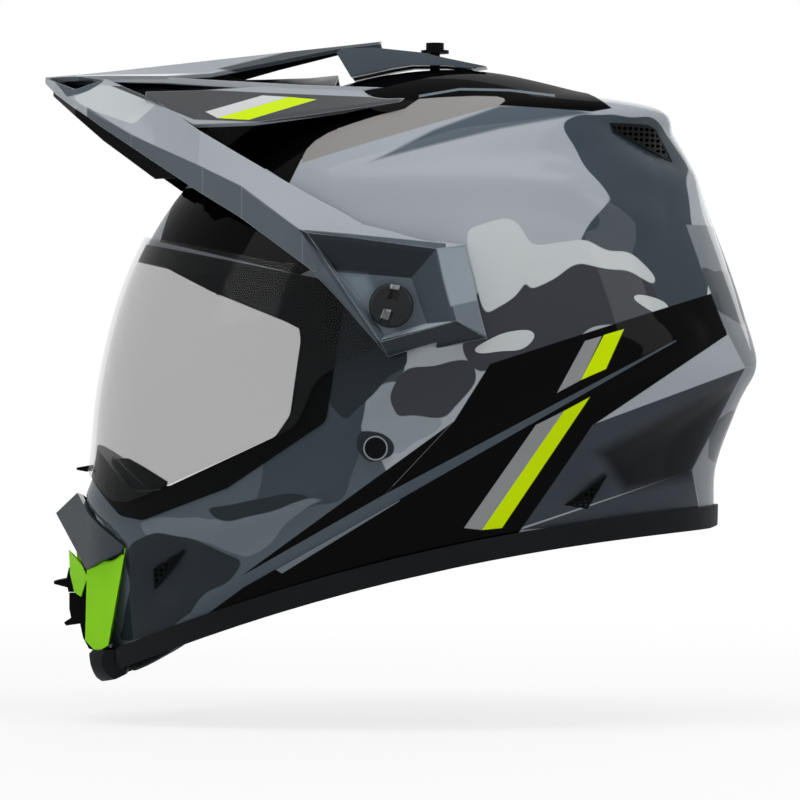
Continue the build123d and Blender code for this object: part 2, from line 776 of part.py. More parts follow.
# Side screws with a coin slot crossed by a round post
head_floor = pod_floor_out + 2 * running_fit
head_top = head_floor + side_head_height
for side, name in ((-1, "left"), (1, "right")):
    slot_plane = Plane((pivot_x, side * head_top, pivot_z), x_dir=(1, 0, 0), z_dir=(0, -side, 0))
    with BuildPart() as side_screw:
        add(disc(head_top, side_head_height, side_head_diameter, side))
        rim = side_screw.edges().filter_by(GeomType.CIRCLE).group_by(Axis.Y)[-1 if side > 0 else 0]
        fillet(rim, side_head_round)
        with BuildSketch(slot_plane):
            Rectangle(side_slot_width, side_head_diameter, rotation=side * side_slot_lean)
            Circle(side_post_diameter / 2, mode=Mode.SUBTRACT)
        extrude(amount=side_slot_depth, mode=Mode.SUBTRACT)
        add(disc(head_floor, head_floor - half_width + insert_length, side_screw_diameter, side))
    save(side_screw.part, f"side_screw_{name}")

# Top screw, its washer and its insert in the crown
up = (Align.CENTER, Align.CENTER, Align.MIN)
top_head_floor = washer_floor + washer_thickness + seat_gap
with BuildPart() as top_screw:
    with Locations((top_screw_x, 0, top_insert_z)):
        Cylinder(top_screw_diameter / 2, top_head_floor - top_insert_z, align=up)
    with Locations((top_screw_x, 0, top_head_floor)):
        Cylinder(top_head_diameter / 2, top_head_height, align=up)
    with Locations((top_screw_x, 0, top_head_floor + top_head_height)):
        Box(top_head_diameter, top_slot_width, 2 * top_slot_depth, mode=Mode.SUBTRACT)
save(top_screw.part, "top_screw")

with BuildPart() as top_washer:
    with Locations((top_screw_x, 0, washer_floor)):
        Cylinder(washer_diameter / 2, washer_thickness, align=up)
        Cylinder(top_screw_diameter / 2 + running_fit, washer_thickness, align=up, mode=Mode.SUBTRACT)
save(top_washer.part, "top_washer")

with BuildPart() as top_insert:
    with Locations((top_screw_x, 0, top_insert_z)):
        Cylinder(top_insert_diameter / 2, top_insert_length, align=up)
        Cylinder(top_screw_diameter / 2 + top_thread_fit, top_insert_length, align=up, mode=Mode.SUBTRACT)
save(top_insert.part, "top_insert")


# Vent meshes: thin plates with a grid of round holes
mesh_bars = [across(points) for points in vent_outlines.values()]
mesh_blanks = layer(-mesh_sink, -mesh_sink - mesh_thickness, mesh_bars[0] + mesh_bars[1] + mesh_bars[2])


def vent_mesh(points):
    """Plates on both sides that follow the shell inside one vent's outline"""
    xs, zs = [x for x, z in points], [z for x, z in points]
    columns = int((max(xs) - min(xs)) / mesh_pitch)
    rows = int((max(zs) - min(zs)) / mesh_pitch)
    with BuildPart() as plates:
        add([s for s in mesh_blanks.solids() if min(xs) < s.center().X < max(xs)])
        with BuildSketch(Plane.XZ):
            with BuildLine():
                Polyline(*points, close=True)
            make_face()
            offset(amount=-mesh_border)
            with BuildSketch(mode=Mode.INTERSECT):
                with Locations(((max(xs) + min(xs)) / 2, (max(zs) + min(zs)) / 2)):
                    with GridLocations(mesh_pitch, mesh_pitch, columns, rows):
                        Circle(mesh_hole / 2)
        extrude(amount=cut_width / 2, both=True, mode=Mode.SUBTRACT)
    return plates.part


for name, points in vent_outlines.items():
    save(vent_mesh(points), name)


# Chin vent block
def vent_points(shares):
    """Side-view points from shares of the chin vent's depth and height"""
    return side_points(shares, vent_depth, vent_height, vent_x, vent_z)


with BuildPart() as chin_vent_cover:
    for out_share, upper_share, lower_share in cover_stations_shares:
        upper, lower = vent_points([upper_share, lower_share])
        size = hypot(upper[0] - lower[0], upper[1] - lower[1])
        into = (
            cover_thickness * (upper[1] - lower[1]) / size,
            -cover_thickness * (upper[0] - lower[0]) / size,
        )
        with BuildSketch(Plane.XZ.offset(cover_half_width * out_share)):
            with BuildLine():
                Polyline(
                    upper,
                    lower,
                    (lower[0] + into[0], lower[1] + into[1]),
                    (upper[0] + into[0], upper[1] + into[1]),
                    close=True,
                )
            make_face()
    loft(ruled=True)
    add(hull(seat_gap), mode=Mode.SUBTRACT)
cover_plate = chin_vent_cover.part.solids().sort_by(SortBy.VOLUME)[-1]
save(cover_plate, "chin_vent_cover")

wedge_front_x = vent_x + vent_depth * wedge_shares[0][0]
flange_points = vent_points(flange_shares)
flange_front_x = min(x for x, z in flange_points)
wedge_rear_x = wedge_front_x + 2 * vent_depth
wedge_plan = [
    (wedge_front_x - wedge_lip, wedge_inner_out),
    (wedge_front_x - wedge_lip, wedge_front_out - wedge_spread * wedge_lip),
    (wedge_rear_x, wedge_front_out + wedge_spread * (wedge_rear_x - wedge_front_x)),
    (wedge_rear_x, wedge_inner_out),
]
flange_plan = [
    (flange_front_x, flange_inner_out),
    (wedge_front_x, wedge_front_out),
    (wedge_front_x + flange_thickness, wedge_front_out),
    (flange_front_x + flange_thickness, flange_inner_out),
]
with BuildPart() as flange:
    add(across(flange_points))
    add(upright(flange_plan), mode=Mode.INTERSECT)
with BuildPart() as chin_vent_wedge:
    add(across(vent_points(wedge_shares)))
    add(upright(wedge_plan), mode=Mode.INTERSECT)
    add(flange.part)
    add(hull(seat_gap), mode=Mode.SUBTRACT)
    add(chin_vent_cover.part, mode=Mode.SUBTRACT)
    add(chin_skirt.part, mode=Mode.SUBTRACT)
save(mirrored(chin_vent_wedge.part), "chin_vent_wedge_left")
save(chin_vent_wedge.part, "chin_vent_wedge_right")

with BuildPart() as chin_vent_grille:
    add(across(vent_points(grille_shares), 0, grille_width))
    with Locations((vent_x - grille_plate_thickness / 2, 0, (mouth_floor + mouth_top) / 2)):
        Box(grille_plate_thickness, grille_plate_width, mouth_top - mouth_floor - 2 * mouth_side_gap)
    with Locations(*[(vent_x, 0, slat_floor + slat_pitch * i) for i in range(slat_count)]):
        Box(2 * vent_depth, slat_width, slat_height, mode=Mode.SUBTRACT)
    add(chin_skirt.part, mode=Mode.SUBTRACT)
save(chin_vent_grille.part, "chin_vent_grille")

with BuildPart() as chin_vent_slider:
    add(across(vent_points(slider_shares), 0, slider_width))
save(chin_vent_slider.part, "chin_vent_slider")


# Foam, slip liner and pads
def outline_bar(shares, width=cut_width):
    """A bar across the helmet from shares of the front reach and crown height"""
    return across(side_points(shares, front_reach, crown_height), 0, width)


foam_out = shell_wall + foam_gap
slip_out = foam_out + foam_thickness + foam_gap
pad_out = slip_out + slip_thickness + foam_gap
liner_cut = outline_bar(liner_cut_shares)

# The foam leaves room for the gasket behind the rim of the eye opening
with BuildPart() as gasket_room:
    add(eye_hole)
    add(hull(-gasket_depth - seat_gap), mode=Mode.SUBTRACT)

with BuildPart() as impact_liner:
    add(hull(-foam_out))
    add(hull(-foam_out - foam_thickness), mode=Mode.SUBTRACT)
    add(liner_cut, mode=Mode.SUBTRACT)
    add(gasket_room.part, mode=Mode.SUBTRACT)
    for side in (-1, 1):
        add(disc(half_width - insert_length + seat_gap + shell_wall, cut_width, insert_diameter, side),
            mode=Mode.SUBTRACT)
    with Locations((top_screw_x, 0, top_insert_z)):
        Cylinder(top_insert_diameter / 2 + seat_gap, cut_width, mode=Mode.SUBTRACT)
save(impact_liner.part, "impact_liner")

brow_cut = outline_bar(brow_cut_shares)
crown_cut = outline_bar(crown_cut_shares)
with BuildPart() as slip_liner:
    add(hull(-slip_out))
    add(hull(-slip_out - slip_thickness), mode=Mode.SUBTRACT)
    add(crown_cut, mode=Mode.INTERSECT)
save(slip_liner.part, "slip_liner")

save(layer(-pad_out, -pad_out - pad_thickness, crown_cut), "crown_pad")
save(layer(-slip_out, -slip_out - pad_thickness, brow_cut), "brow_pad")
save(layer(-foam_out, -foam_out - neck_thickness, outline_bar(neck_shares)), "neck_roll")

with BuildPart() as chin_foam:
    add(layer(-foam_out, -foam_out - chin_foam_thickness, outline_bar(chin_foam_shares)))
    add(mouth.part, mode=Mode.SUBTRACT)
save(chin_foam.part, "chin_foam")

cheek_outline = side_points(cheek_shares, front_reach, crown_height)
cheek_foams = layer(-foam_out, -foam_out - cheek_foam_thickness, outline_bar(cheek_shares))
cheek_pad_base = half_width - foam_out - cheek_foam_thickness
with BuildPart() as cheek_foam:
    add(cheek_foams)
    add(half_space(Align.CENTER, Align.MIN), mode=Mode.INTERSECT)
save(mirrored(cheek_foam.part), "cheek_foam_left")
save(cheek_foam.part, "cheek_foam_right")

with BuildPart() as cheek_pad:
    for step_in, draw_in in ((0, cheek_pad_edge), (cheek_pad_crown, cheek_pad_edge),
                             (cheek_pad_crown * 2, cheek_pad_edge + cheek_pad_draw_in)):
        with BuildSketch(Plane.XZ.offset(step_in - cheek_pad_base)):
            with BuildLine():
                Polyline(*cheek_outline, close=True)
            make_face()
            offset(amount=-draw_in, kind=Kind.INTERSECTION)
    loft(ruled=True)
    add(hull(-foam_out - cheek_foam_thickness - foam_gap), mode=Mode.INTERSECT)
save(mirrored(cheek_pad.part), "cheek_pad_left")
save(cheek_pad.part, "cheek_pad_right")

# Rivets, their plates and the two halves of the chin strap
with BuildPart() as strap_rivets:
    for side in (-1, 1):
        add(disc(rivet_cap_out, rivet_cap_out - anchor_out - seat_gap, rivet_cap_diameter, side,
                 rivet_x, rivet_z))
        add(disc(rivet_cap_out, rivet_cap_out - rivet_root_out, rivet_shank_diameter, side,
                 rivet_x, rivet_z))
save(strap_rivets.part, "strap_rivets")

with BuildPart() as strap_plates:
    for side in (-1, 1):
        add(disc(anchor_out, anchor_thickness, anchor_diameter, side, rivet_x, rivet_z))
        add(disc(cut_width, cut_width, rivet_shank_diameter + 2 * rivet_fit, side, rivet_x, rivet_z),
            mode=Mode.SUBTRACT)
save(strap_plates.part, "strap_plates")

strap_top_out = anchor_out - anchor_thickness - foam_gap - strap_thickness / 2
strap_plane = Plane.YZ.offset(rivet_x)


def webbing(points):
    """A flat strap whose middle line runs through points, with a hole for its rivet"""
    with BuildPart() as strap:
        with BuildSketch(strap_plane):
            with BuildLine() as line:
                FilletPolyline(*points, radius=strap_bend_radius)
            trace(line.line, strap_thickness)
        extrude(amount=strap_width / 2, both=True)
        for side in (-1, 1):
            add(disc(cut_width, cut_width, rivet_shank_diameter + 2 * rivet_fit, side,
                     rivet_x, rivet_z), mode=Mode.SUBTRACT)
    return strap.part


loop_reach = hypot(strap_bend_out - loop_out, strap_bend_z - loop_z)
loop_along = ((loop_out - strap_bend_out) / loop_reach, (loop_z - strap_bend_z) / loop_reach)
loop_start = (
    loop_out - loop_along[0] * (loop_outer_width - loop_wall) / 2,
    loop_z - loop_along[1] * (loop_outer_width - loop_wall) / 2,
)
loop_plane = Plane((rivet_x, -loop_out, loop_z), x_dir=(0, -loop_along[0], loop_along[1]), z_dir=(1, 0, 0))
with BuildPart() as strap_left:
    add(webbing([(-strap_top_out, strap_top_z), (-strap_bend_out, strap_bend_z),
                 (-loop_start[0], loop_start[1])]))
    with BuildSketch(loop_plane):
        SlotOverall(loop_outer_height, loop_outer_width, rotation=90)
        SlotOverall(loop_outer_height - 2 * loop_wall, loop_outer_width - 2 * loop_wall, rotation=90,
                    mode=Mode.SUBTRACT)
    extrude(amount=strap_width / 2, both=True)
save(strap_left.part, "strap_left")

save(
    webbing([(strap_top_out, strap_top_z), (strap_bend_out, strap_bend_z), (strap_jaw_out, strap_jaw_z),
             (0, strap_low_z), (strap_end_out, strap_end_z)]),
    "strap_right",
)

for bar_place, name in ((-ring_spacing / 2, "d_ring_lower"), (ring_spacing / 2, "d_ring_upper")):
    bar_middle = loop_plane.from_local_coords((0, bar_place, 0))
    with BuildPart() as d_ring:
        with BuildSketch(Plane(bar_middle, x_dir=(1, 0, 0), z_dir=loop_plane.y_dir)):
            with Locations((0, ring_length / 2 - ring_wire / 2)):
                RectangleRounded(ring_width, ring_length, ring_corner)
                RectangleRounded(ring_width - 2 * ring_wire, ring_length - 2 * ring_wire,
                                 ring_corner - ring_wire, mode=Mode.SUBTRACT)
        extrude(amount=ring_wire / 2, both=True)
    save(d_ring.part, name)
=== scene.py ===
from math import cos, pi, radians, sin, sqrt

import bmesh
import bpy
from bpy.props import FloatProperty, FloatVectorProperty, IntProperty, PointerProperty
from mathutils import Matrix, Vector


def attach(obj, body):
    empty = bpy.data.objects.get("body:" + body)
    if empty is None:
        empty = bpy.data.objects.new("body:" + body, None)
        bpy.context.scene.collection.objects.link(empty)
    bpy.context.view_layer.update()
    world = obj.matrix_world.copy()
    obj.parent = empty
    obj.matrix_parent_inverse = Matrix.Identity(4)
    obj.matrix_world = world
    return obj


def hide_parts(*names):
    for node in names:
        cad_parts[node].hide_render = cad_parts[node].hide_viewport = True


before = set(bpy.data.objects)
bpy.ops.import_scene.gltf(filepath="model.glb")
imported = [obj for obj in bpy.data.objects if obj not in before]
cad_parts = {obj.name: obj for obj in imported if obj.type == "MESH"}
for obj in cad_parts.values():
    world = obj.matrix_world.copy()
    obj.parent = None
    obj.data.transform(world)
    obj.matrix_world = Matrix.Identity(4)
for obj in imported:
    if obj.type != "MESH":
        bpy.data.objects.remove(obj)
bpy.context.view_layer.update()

bl_info = {
    "name": "Dual Sport Helmet",
    "version": (1, 0, 0),
    "blender": (4, 5, 0),
    "location": "3D View > Sidebar > Helmet",
    "description": "Dresses a full-face dual sport helmet with its paint, shield, peak, vents and lining",
    "category": "Object",
}

MM = 0.001

# The picture's view: a long lens, level with the shield and turned a little to the rear
VIEW_TURN = radians(2.5)
VIEW_DISTANCE = 2600.0
VIEW_HEIGHT = 139.5
PICTURE = 800
PIXELS_PER_MM = 2.0

# The camera's sensor in mm, and how far it sees in metres
SENSOR_WIDTH = 36.0
CAMERA_CLIP = 60

# The floor's drop below the helmet in mm, and in metres its half size and where it turns white
FLOOR_DROP = 20.0
FLOOR_SIZE = 12.0
FLOOR_TURNS_WHITE, FLOOR_FADE = 0.85, 0.5

# The share of white that the floor has near the helmet, and the strength of the light from all round
NEAR_GLOW = 0.78
SOFT_LIGHT = 0.25
WHITE = (1.0, 1.0, 1.0, 1.0)

# Lamps: name, place and size in metres, and power in watts
LAMP_AIM = (0, 0, 0.15)
LAMPS = [
    ("TopLight", (0.0, -0.5, 1.7), (1.8, 0.9), 17),
    ("FrontLight", (-1.5, -1.2, 0.9), (0.9, 1.0), 9),
    ("RearLight", (1.5, -0.8, 0.8), (0.6, 1.0), 7),
    ("FarLight", (0.2, 1.3, 0.7), (1.2, 0.8), 6),
]

# Shell form: four sizes, and levels of height, front reach, rear reach and half width as shares
FRONT_REACH, REAR_REACH, CROWN, HALF_WIDTH = 160.0, 177.0, 304.0, 122.0
SHELL_WALL = 4.0
FULLNESS = 2.2
WIDEST = 0.60
LEVELS = [
    (0.000, 0.912, 0.850, 0.790), (0.080, 0.938, 0.862, 0.824), (0.180, 0.969, 0.873, 0.869),
    (0.280, 0.988, 0.884, 0.910), (0.350, 0.950, 0.890, 0.937), (0.450, 0.931, 0.949, 0.975),
    (0.520, 0.909, 1.000, 0.996), (0.600, 0.872, 0.969, 1.000), (0.680, 0.816, 0.924, 0.980),
    (0.760, 0.734, 0.870, 0.930), (0.830, 0.628, 0.828, 0.848), (0.890, 0.500, 0.774, 0.733),
    (0.930, 0.375, 0.737, 0.615), (0.960, 0.256, 0.530, 0.472), (0.983, 0.119, 0.373, 0.312),
    (0.994, 0.010, 0.280, 0.190), (1.000, -0.088, 0.192, 0.070),
]

# The shell's lower edge is one arc through three side-view places
EDGE_PLACES = ((-150.0, 6.5), (0.0, 57.5), (158.5, 82.0))

# Side-view centres of the shield's pivot and the strap's rivet, and the holes and ears round them
PIVOT = (1.6, 184.2)
RIVET = (-6.6, 116.5)
PIVOT_HOLE, RIVET_HOLE, HUB_HOLE, SHIELD_EAR = 10.0, 12.2, 16.2, 42.0

# Side-view outlines of the openings and the shield, which run past the shell's front
EYE_PORT = [(-200, 232.0), (-20, 194.7), (-30.5, 129.0), (-79.1, 97.1), (-122.0, 81.0), (-134.1, 83.0),
            (-153.0, 101.6), (-200, 148.1)]
SHIELD = [(-200, 235.5), (-50, 204.8), (-4, 204.0), (-4, 165.0), (-35, 150.0), (-44.5, 126.5),
          (-128.0, 89.9), (-139.0, 90.0), (-152.1, 102.0), (-200, 149.0)]
UPPER_VENT = [(105.0, 274.5), (124.1, 274.5), (128.0, 272.4), (135.9, 256.0), (107.1, 270.0)]
LOWER_VENT = [(83.4, 89.1), (104.1, 103.4), (94.3, 86.9)]
CHIN_VENT = [(-117.0, 57.5), (-100.5, 66.6), (-117.0, 47.4)]
MOUTH_LOW, MOUTH_HIGH = (-210, -21.3, 14.0), (-120, 21.3, 66.6)
OPENING_CORNER, CORNER_STEPS = 7.0, 4
SHIELD_GAP, SHIELD_WALL = 3.5, 2.2
SHIELD_AROUND, SHIELD_UP = 200, 110

# Cutting tools: reach to each side, sides of a round one, and the corners of the one under the edge
TOOL_REACH = 200.0
PIN_SIDES = 48
UNDER_FRONT, UNDER_REAR, UNDER_BOTTOM, UNDER_STEP = -190, 200, -80, 10

# Angles in degrees up to which a form is shaded smooth
SMOOTH, SHELL_SMOOTH, SHIELD_SMOOTH, COVER_SMOOTH, PAD_SMOOTH = 30, 26, 40, 20, 60

# Rounded edges in mm of pieces that are copied from the CAD, and the faces across one
SCREW_BEVEL, RING_BEVEL, STRAP_BEVEL = 0.4, 0.9, 0.3
BEVEL_STEPS = 2

# Rounds of two searches: for the place of a height, and for the place that a pixel shows
HEIGHT_ROUNDS, PIXEL_ROUNDS = 24, 8

# The chin vent's cover plate: distance out, then upper and lower edge as x from VENT_X and height
VENT_X = -150.0
COVER_WALL = 2.4
COVER_STATIONS = [(0.0, (-12.0, 93.0), (-22.7, 82.8)), (36.0, (-2.5, 83.0), (-3.6, 55.5)),
                  (50.8, (4.5, 77.5), (3.8, 60.0)), (66.0, (18.0, 68.0), (16.0, 65.0))]
COVER_SEEN = [(76, 493), (57, 516), (88, 574), (127, 547)]
COVER_MARGIN, COVER_SLOPE, COVER_ROOM = 3.0, 0.6, 4.0

# Creases in picture pixels, each with its share of the crease height and of the crease reach
RIDGES = [
    ([(330, 176), (380, 161), (462, 132), (533, 123), (589, 114), (655, 113), (676, 122)], 1.0, 0.9),
    ([(350, 178), (440, 178), (533, 180), (575, 190), (604, 204), (640, 219)], 1.0, 0.8),
    ([(676, 122), (690, 180), (704, 276), (724, 327), (744, 368), (722, 409), (694, 470), (700, 512)],
     1.2, 0.8),
    ([(744, 368), (690, 392), (640, 414), (592, 446)], 1.5, 1.0),
    ([(690, 336), (560, 402), (380, 497), (244, 580), (190, 606)], 1.2, 0.7),
    ([(338, 421), (368, 396), (404, 366), (440, 330)], 1.5, 0.7),
    ([(135, 540), (200, 534), (270, 512), (330, 486)], 1.0, 0.8),
    ([(560, 524), (640, 506), (700, 498)], 0.8, 0.8),
]
# Hollows: middle and half sizes in picture pixels, and depth in mm
HOLLOWS = [(676, 446, 62, 46, 2.6), (556, 156, 90, 26, 1.2), (210, 582, 60, 30, 1.4), (325, 370, 30, 60, 1.5),
           (640, 370, 70, 30, 0.8)]
# Scoops round the vents: outline, depth and spread
SCOOPS = [(CHIN_VENT, 3.2, 15.0), (LOWER_VENT, 3.0, 14.0), (UPPER_VENT, 3.0, 12.0)]
# How steeply hollows and scoops deepen towards their middle
DEEPENING = 1.5
# The creases fade out at the crown, along the shell's edge, round the eye port and at the middle plane
CREASE_TOP = 296
EDGE_BAND, EDGE_FADE = 7, 12
EYE_BAND, EYE_FADE = 3, 14
MIDDLE_FADE = 25

# The slot of a side screw leans by this many degrees from its place in the CAD
SLOT_TURN = 40.0

# Paint fields of the shell, as convex outlines in picture pixels that lie under and over each other
# Painted shade: the lower front, darker where the chin and jaw face away from the top light
CHIN_PAINTED_SHADE = [[(40, 440), (340, 400), (372, 440), (400, 500), (175, 640), (40, 700)]]
SLATE_PATCHES = [
    [(562, 118), (660, 112), (690, 180), (700, 240), (603, 200), (570, 140)],
    [(600, 200), (700, 236), (716, 300), (700, 330), (640, 300), (586, 262), (588, 229)],
    [(300, 330), (345, 311), (403, 366), (330, 500), (240, 540)],
]
WARM_PATCHES = [[(470, 290), (600, 262), (650, 280), (655, 312), (480, 370), (462, 340)]]
LIGHT_PATCHES = [
    [(466, 229), (516, 217), (526, 225), (538, 242), (542, 262), (516, 288), (482, 314), (472, 300)],
    [(530, 240), (600, 248), (596, 266), (567, 279), (530, 284)],
    [(584, 249), (608, 246), (625, 251), (654, 271), (652, 279), (590, 267)],
]
LIGHT_OVALS = [(648, 303, 20, 8, -14), (505, 337, 27, 8, 14), (716, 292, 8, 22, -10)]
CHEEK_GREY = [[(367, 387), (400, 380), (447, 421), (440, 440), (398, 462), (352, 427)]]
CHEEK_WARM = [[(403, 364), (476, 354), (479, 378), (447, 424), (396, 421), (386, 395)]]
JAW_GREYS = [
    [(209, 514), (322, 499), (246, 553), (203, 533)],
    [(134, 528), (180, 515), (240, 516), (210, 536), (140, 542)],
]
DEEP_PATCHES = [
    [(352, 427), (382, 432), (398, 448), (394, 462), (367, 467), (350, 448)],
    [(201, 505), (209, 514), (244, 515), (322, 499), (275, 489)],
    [(128, 542), (203, 536), (246, 557), (240, 577), (175, 624), (117, 648)],
    [(335, 285), (400, 300), (403, 366), (335, 421), (322, 409)],
]
CROWN_TAUPE = [
    [(302, 163), (303, 156), (307, 149), (315, 141), (328, 133), (348, 125), (376, 116), (412, 107),
     (497, 106)],
    [(419, 99), (440, 97.5), (475, 96), (497, 96.5), (504, 98.5), (505, 101), (497, 107), (400, 112)],
]
CROWN_BLACK = [
    [(330, 60), (505, 60), (509, 98), (419, 101), (330, 98)],
    [(495, 60), (560, 80), (588, 94), (602, 101.5), (612, 108.5), (592, 112), (495, 105.2)],
]
SIDE_BLACK = [
    [(200, 131), (300, 90), (416, 88), (420, 107), (340, 128), (215, 142)],
    [(215, 140), (340, 127), (302, 159), (262, 170)],
    [(262, 166), (302, 158), (289, 184)],
    [(180, 189), (225, 190), (330, 260), (300, 275), (160, 242)],
    [(490, 364), (717, 292), (727, 335), (592, 426), (453, 423)],
    [(240, 577), (453, 422), (380, 500)],
    [(453, 422), (594, 424), (380, 500)],
    [(175, 624), (380, 505), (594, 392), (594, 424), (500, 560), (183, 650)],
]
CREASE_SLATE = [
    [(376, 160), (434, 130), (500, 106), (520, 106), (520, 124), (500, 129)],
    [(490, 110), (500, 106), (560, 106), (590, 113.5), (500, 129), (490, 130.7)],
]
# The rear hollow: slate paint darkened as painted shade, with a darker painted shade in its middle
REAR_SLATE_AND_SHADE = [[(594, 424), (745, 368), (692, 470), (520, 528)], [(692, 470), (700, 514), (520, 530)]]
REAR_HOLLOW_SHADE = [[(738, 376), (690, 478), (625, 490), (598, 452)]]
REAR_BAND = [
    [(686, 225), (704, 276), (724, 327), (745, 368), (820, 368), (820, 225)],
    [(745, 368), (692, 470), (700, 510), (820, 510), (820, 368)],
]
REAR_BAND_PATCHES = [
    [(700, 262), (740, 270), (744, 330), (716, 312)],
    [(716, 420), (760, 400), (760, 440), (706, 470)],
]
SIDE_BAND = [
    [(240, 577), (380, 497), (380, 510.5), (244, 587)],
    [(380, 497), (676, 340), (676, 341.5), (380, 510.5)],
    [(175, 624), (240, 577), (244, 587), (183, 632)],
]
# Thin grey lines: the first is a painted reflection along the crease under the side band, the others a slate
# line over the crown
THIN_LINES_AND_CREASE_REFLECTION = [
    [(276, 569.6), (399.6, 500), (399.6, 501.2), (282, 573.4)],
    [(419, 95), (460, 88), (460, 90.4), (419, 97.4)],
    [(460, 88), (509, 89), (509, 91.4), (460, 90.4)],
    [(509, 89), (555, 94.6), (555, 97), (509, 91.4)],
]
GREY_STRIPES = [
    [(585, 341), (602, 336), (581, 380), (557, 393)],
    [(536, 425), (564, 411), (482, 530), (464, 528)],
]
BRIGHT_STRIPES = [
    [(604, 335), (624, 329), (606, 369), (581, 380)],
    [(564, 411), (590, 397), (502, 528), (482, 530)],
]

# Paint fields of the peak in picture pixels, and the distance out in mm at which each is seen
PEAK_ROOF = [[(45, 80), (210, 78), (380, 50), (380, 30), (45, 30)]]
PEAK_TOP_REAR = [[(222, 72), (300, 48), (384, 36), (384, 66), (240, 76)]]
ROOF_OUT = 0
TIP_LIGHT = [[(96.5, 80.6), (147.5, 87), (157, 103), (133, 125), (84, 106), (71, 95)]]
TIP_LIGHT_OUT = 60
TIP_SLATE = [[(40, 74), (106, 79), (87, 92), (68, 97)]]
TIP_SLATE_OUT = 40
# Painted shade on the down-facing lower band of each arm
ARM_UNDERSIDE_SHADE = [
    [(74, 100), (122, 130), (122, 190), (74, 160)],
    [(122, 130), (199, 165), (199, 225), (122, 190)],
    [(199, 165), (240, 185), (240, 245), (199, 225)],
    [(240, 185), (303, 232), (303, 292), (240, 245)],
    [(303, 232), (392, 352), (392, 412), (303, 292)],
]
ARM_OUT = 118
TOP_PANEL = [[(190, 117), (262, 120), (420, 103), (420, 96), (100, 79)]]
TOP_PANEL_OUT = 100
PANEL_GREY_STRIPE = [[(200, 108), (256, 90), (283, 92), (213, 115)]]
PANEL_BRIGHT_STRIPE = [[(213, 115), (245, 117), (312, 95), (283, 92)]]
PANEL_STRIPE_OUT = 104

# Facets of the peak's pod, painted lighter and darker as painted highlights and painted shade of its recess:
# outline, distance out in mm, softness in mm and colour
POD_LIT_AND_SHADED_FACETS = [
    ([(298, 229), (445, 243), (474, 341), (392, 363), (376, 341)], 130, 0.3, "4b545c"),
    ([(297, 229), (437, 249), (411, 278), (336, 272)], 133, 0.2, "262c33"),
    ([(336, 272), (411, 278), (427, 324), (385, 337)], 131, 0.2, "56606a"),
    ([(338, 273), (366, 276), (398, 333), (385, 336)], 131, 2.5, "74808a"),
    ([(379, 342), (385, 336), (427, 323), (457, 320)], 132, 0.2, "98a3ab"),
    ([(411, 278), (437, 249), (457, 321), (427, 324)], 132, 0.2, "414a52"),
    ([(437, 249), (466, 244), (492, 339), (457, 321)], 131, 0.2, "6b757e"),
]
# A painted highlight on the pod's rear facet, and painted shade on the pod's underside
POD_REAR_HIGHLIGHT = [[(437, 249), (466, 244), (480, 296), (451, 306)]]
POD_REAR_OUT = 131
POD_UNDERSIDE_SHADE = [[(377, 341), (457, 321), (492, 339), (392, 366)]]
POD_UNDERSIDE_OUT = 130

# The side screw's slot painted dark as shade, and its two ends painted light as highlights
SLOT_END_HIGHLIGHTS = [
    [(391, 284), (400, 285.5), (398.5, 290), (390, 288.5)],
    [(384, 309), (391.5, 310), (388, 320), (380.5, 318)],
]
SLOT_SHADE = [[(390, 288.5), (398.5, 290), (394.5, 301), (387, 299.5)]]
SCREW_OUT = 133
RIVET_RING_OUTER, RIVET_RING_INNER = 5.9, 5.2

# Points of a CAD node's mesh, and of the shell's seam, that are nearer than this in mm are one
MERGE, SEAM_MERGE = 0.01, 0.02

# Triangles of a CAD node's mesh that meet at less than this many degrees are one face
FLAT = 1

# How the pads' grid is smoothed, and the steps and quality of the cloth run that puffs them
EVEN_SHARE, EVEN_ROUNDS = 0.5, 8
PUFF_STEPS, PUFF_QUALITY = 12, 4

# Padded pieces: node, name, how many times finer than the pads' grid, most swell in mm, and how full
PADS = [
    ("crown_pad", "CrownPad", 1, 1.5, 0.6),
    ("brow_pad", "BrowPad", 1, 1.5, 0.6),
    ("neck_roll", "NeckRoll", 1, 2.0, 0.7),
    ("cheek_pad_left", "CheekPadLeft", 1, 2.0, 0.7),
    ("cheek_pad_right", "CheekPadRight", 1, 2.0, 0.7),
    ("chin_curtain", "ChinCurtain", 3, 0.5, 0.3),
]

# A painted highlight lightens the peak's edges where the surface turns by more than this share, with a soft
# step
EDGE_TURN, EDGE_SOFTNESS = 0.14, 0.08
# Colour and strength of the painted edge highlight, and the reach and samples of the rounding that finds the
# edges
EDGE_HIGHLIGHT_TONE, EDGE_HIGHLIGHT_GAIN = "b4bac0", 0.8
EDGE_REACH, EDGE_SAMPLES = 0.9, 4

# Clear coat of the shell and the peak, and how much less their black fields, crown and roof have
SHELL_COAT, BLACK_LOSS, CROWN_LOSS = 0.45, 0.25, 0.14
PEAK_COAT, ROOF_LOSS = 0.4, 0.36

# Grain under the paint: scale, and depth in mm
PAINT_GRAIN, PAINT_GRAIN_DEPTH = 260.0, 0.004

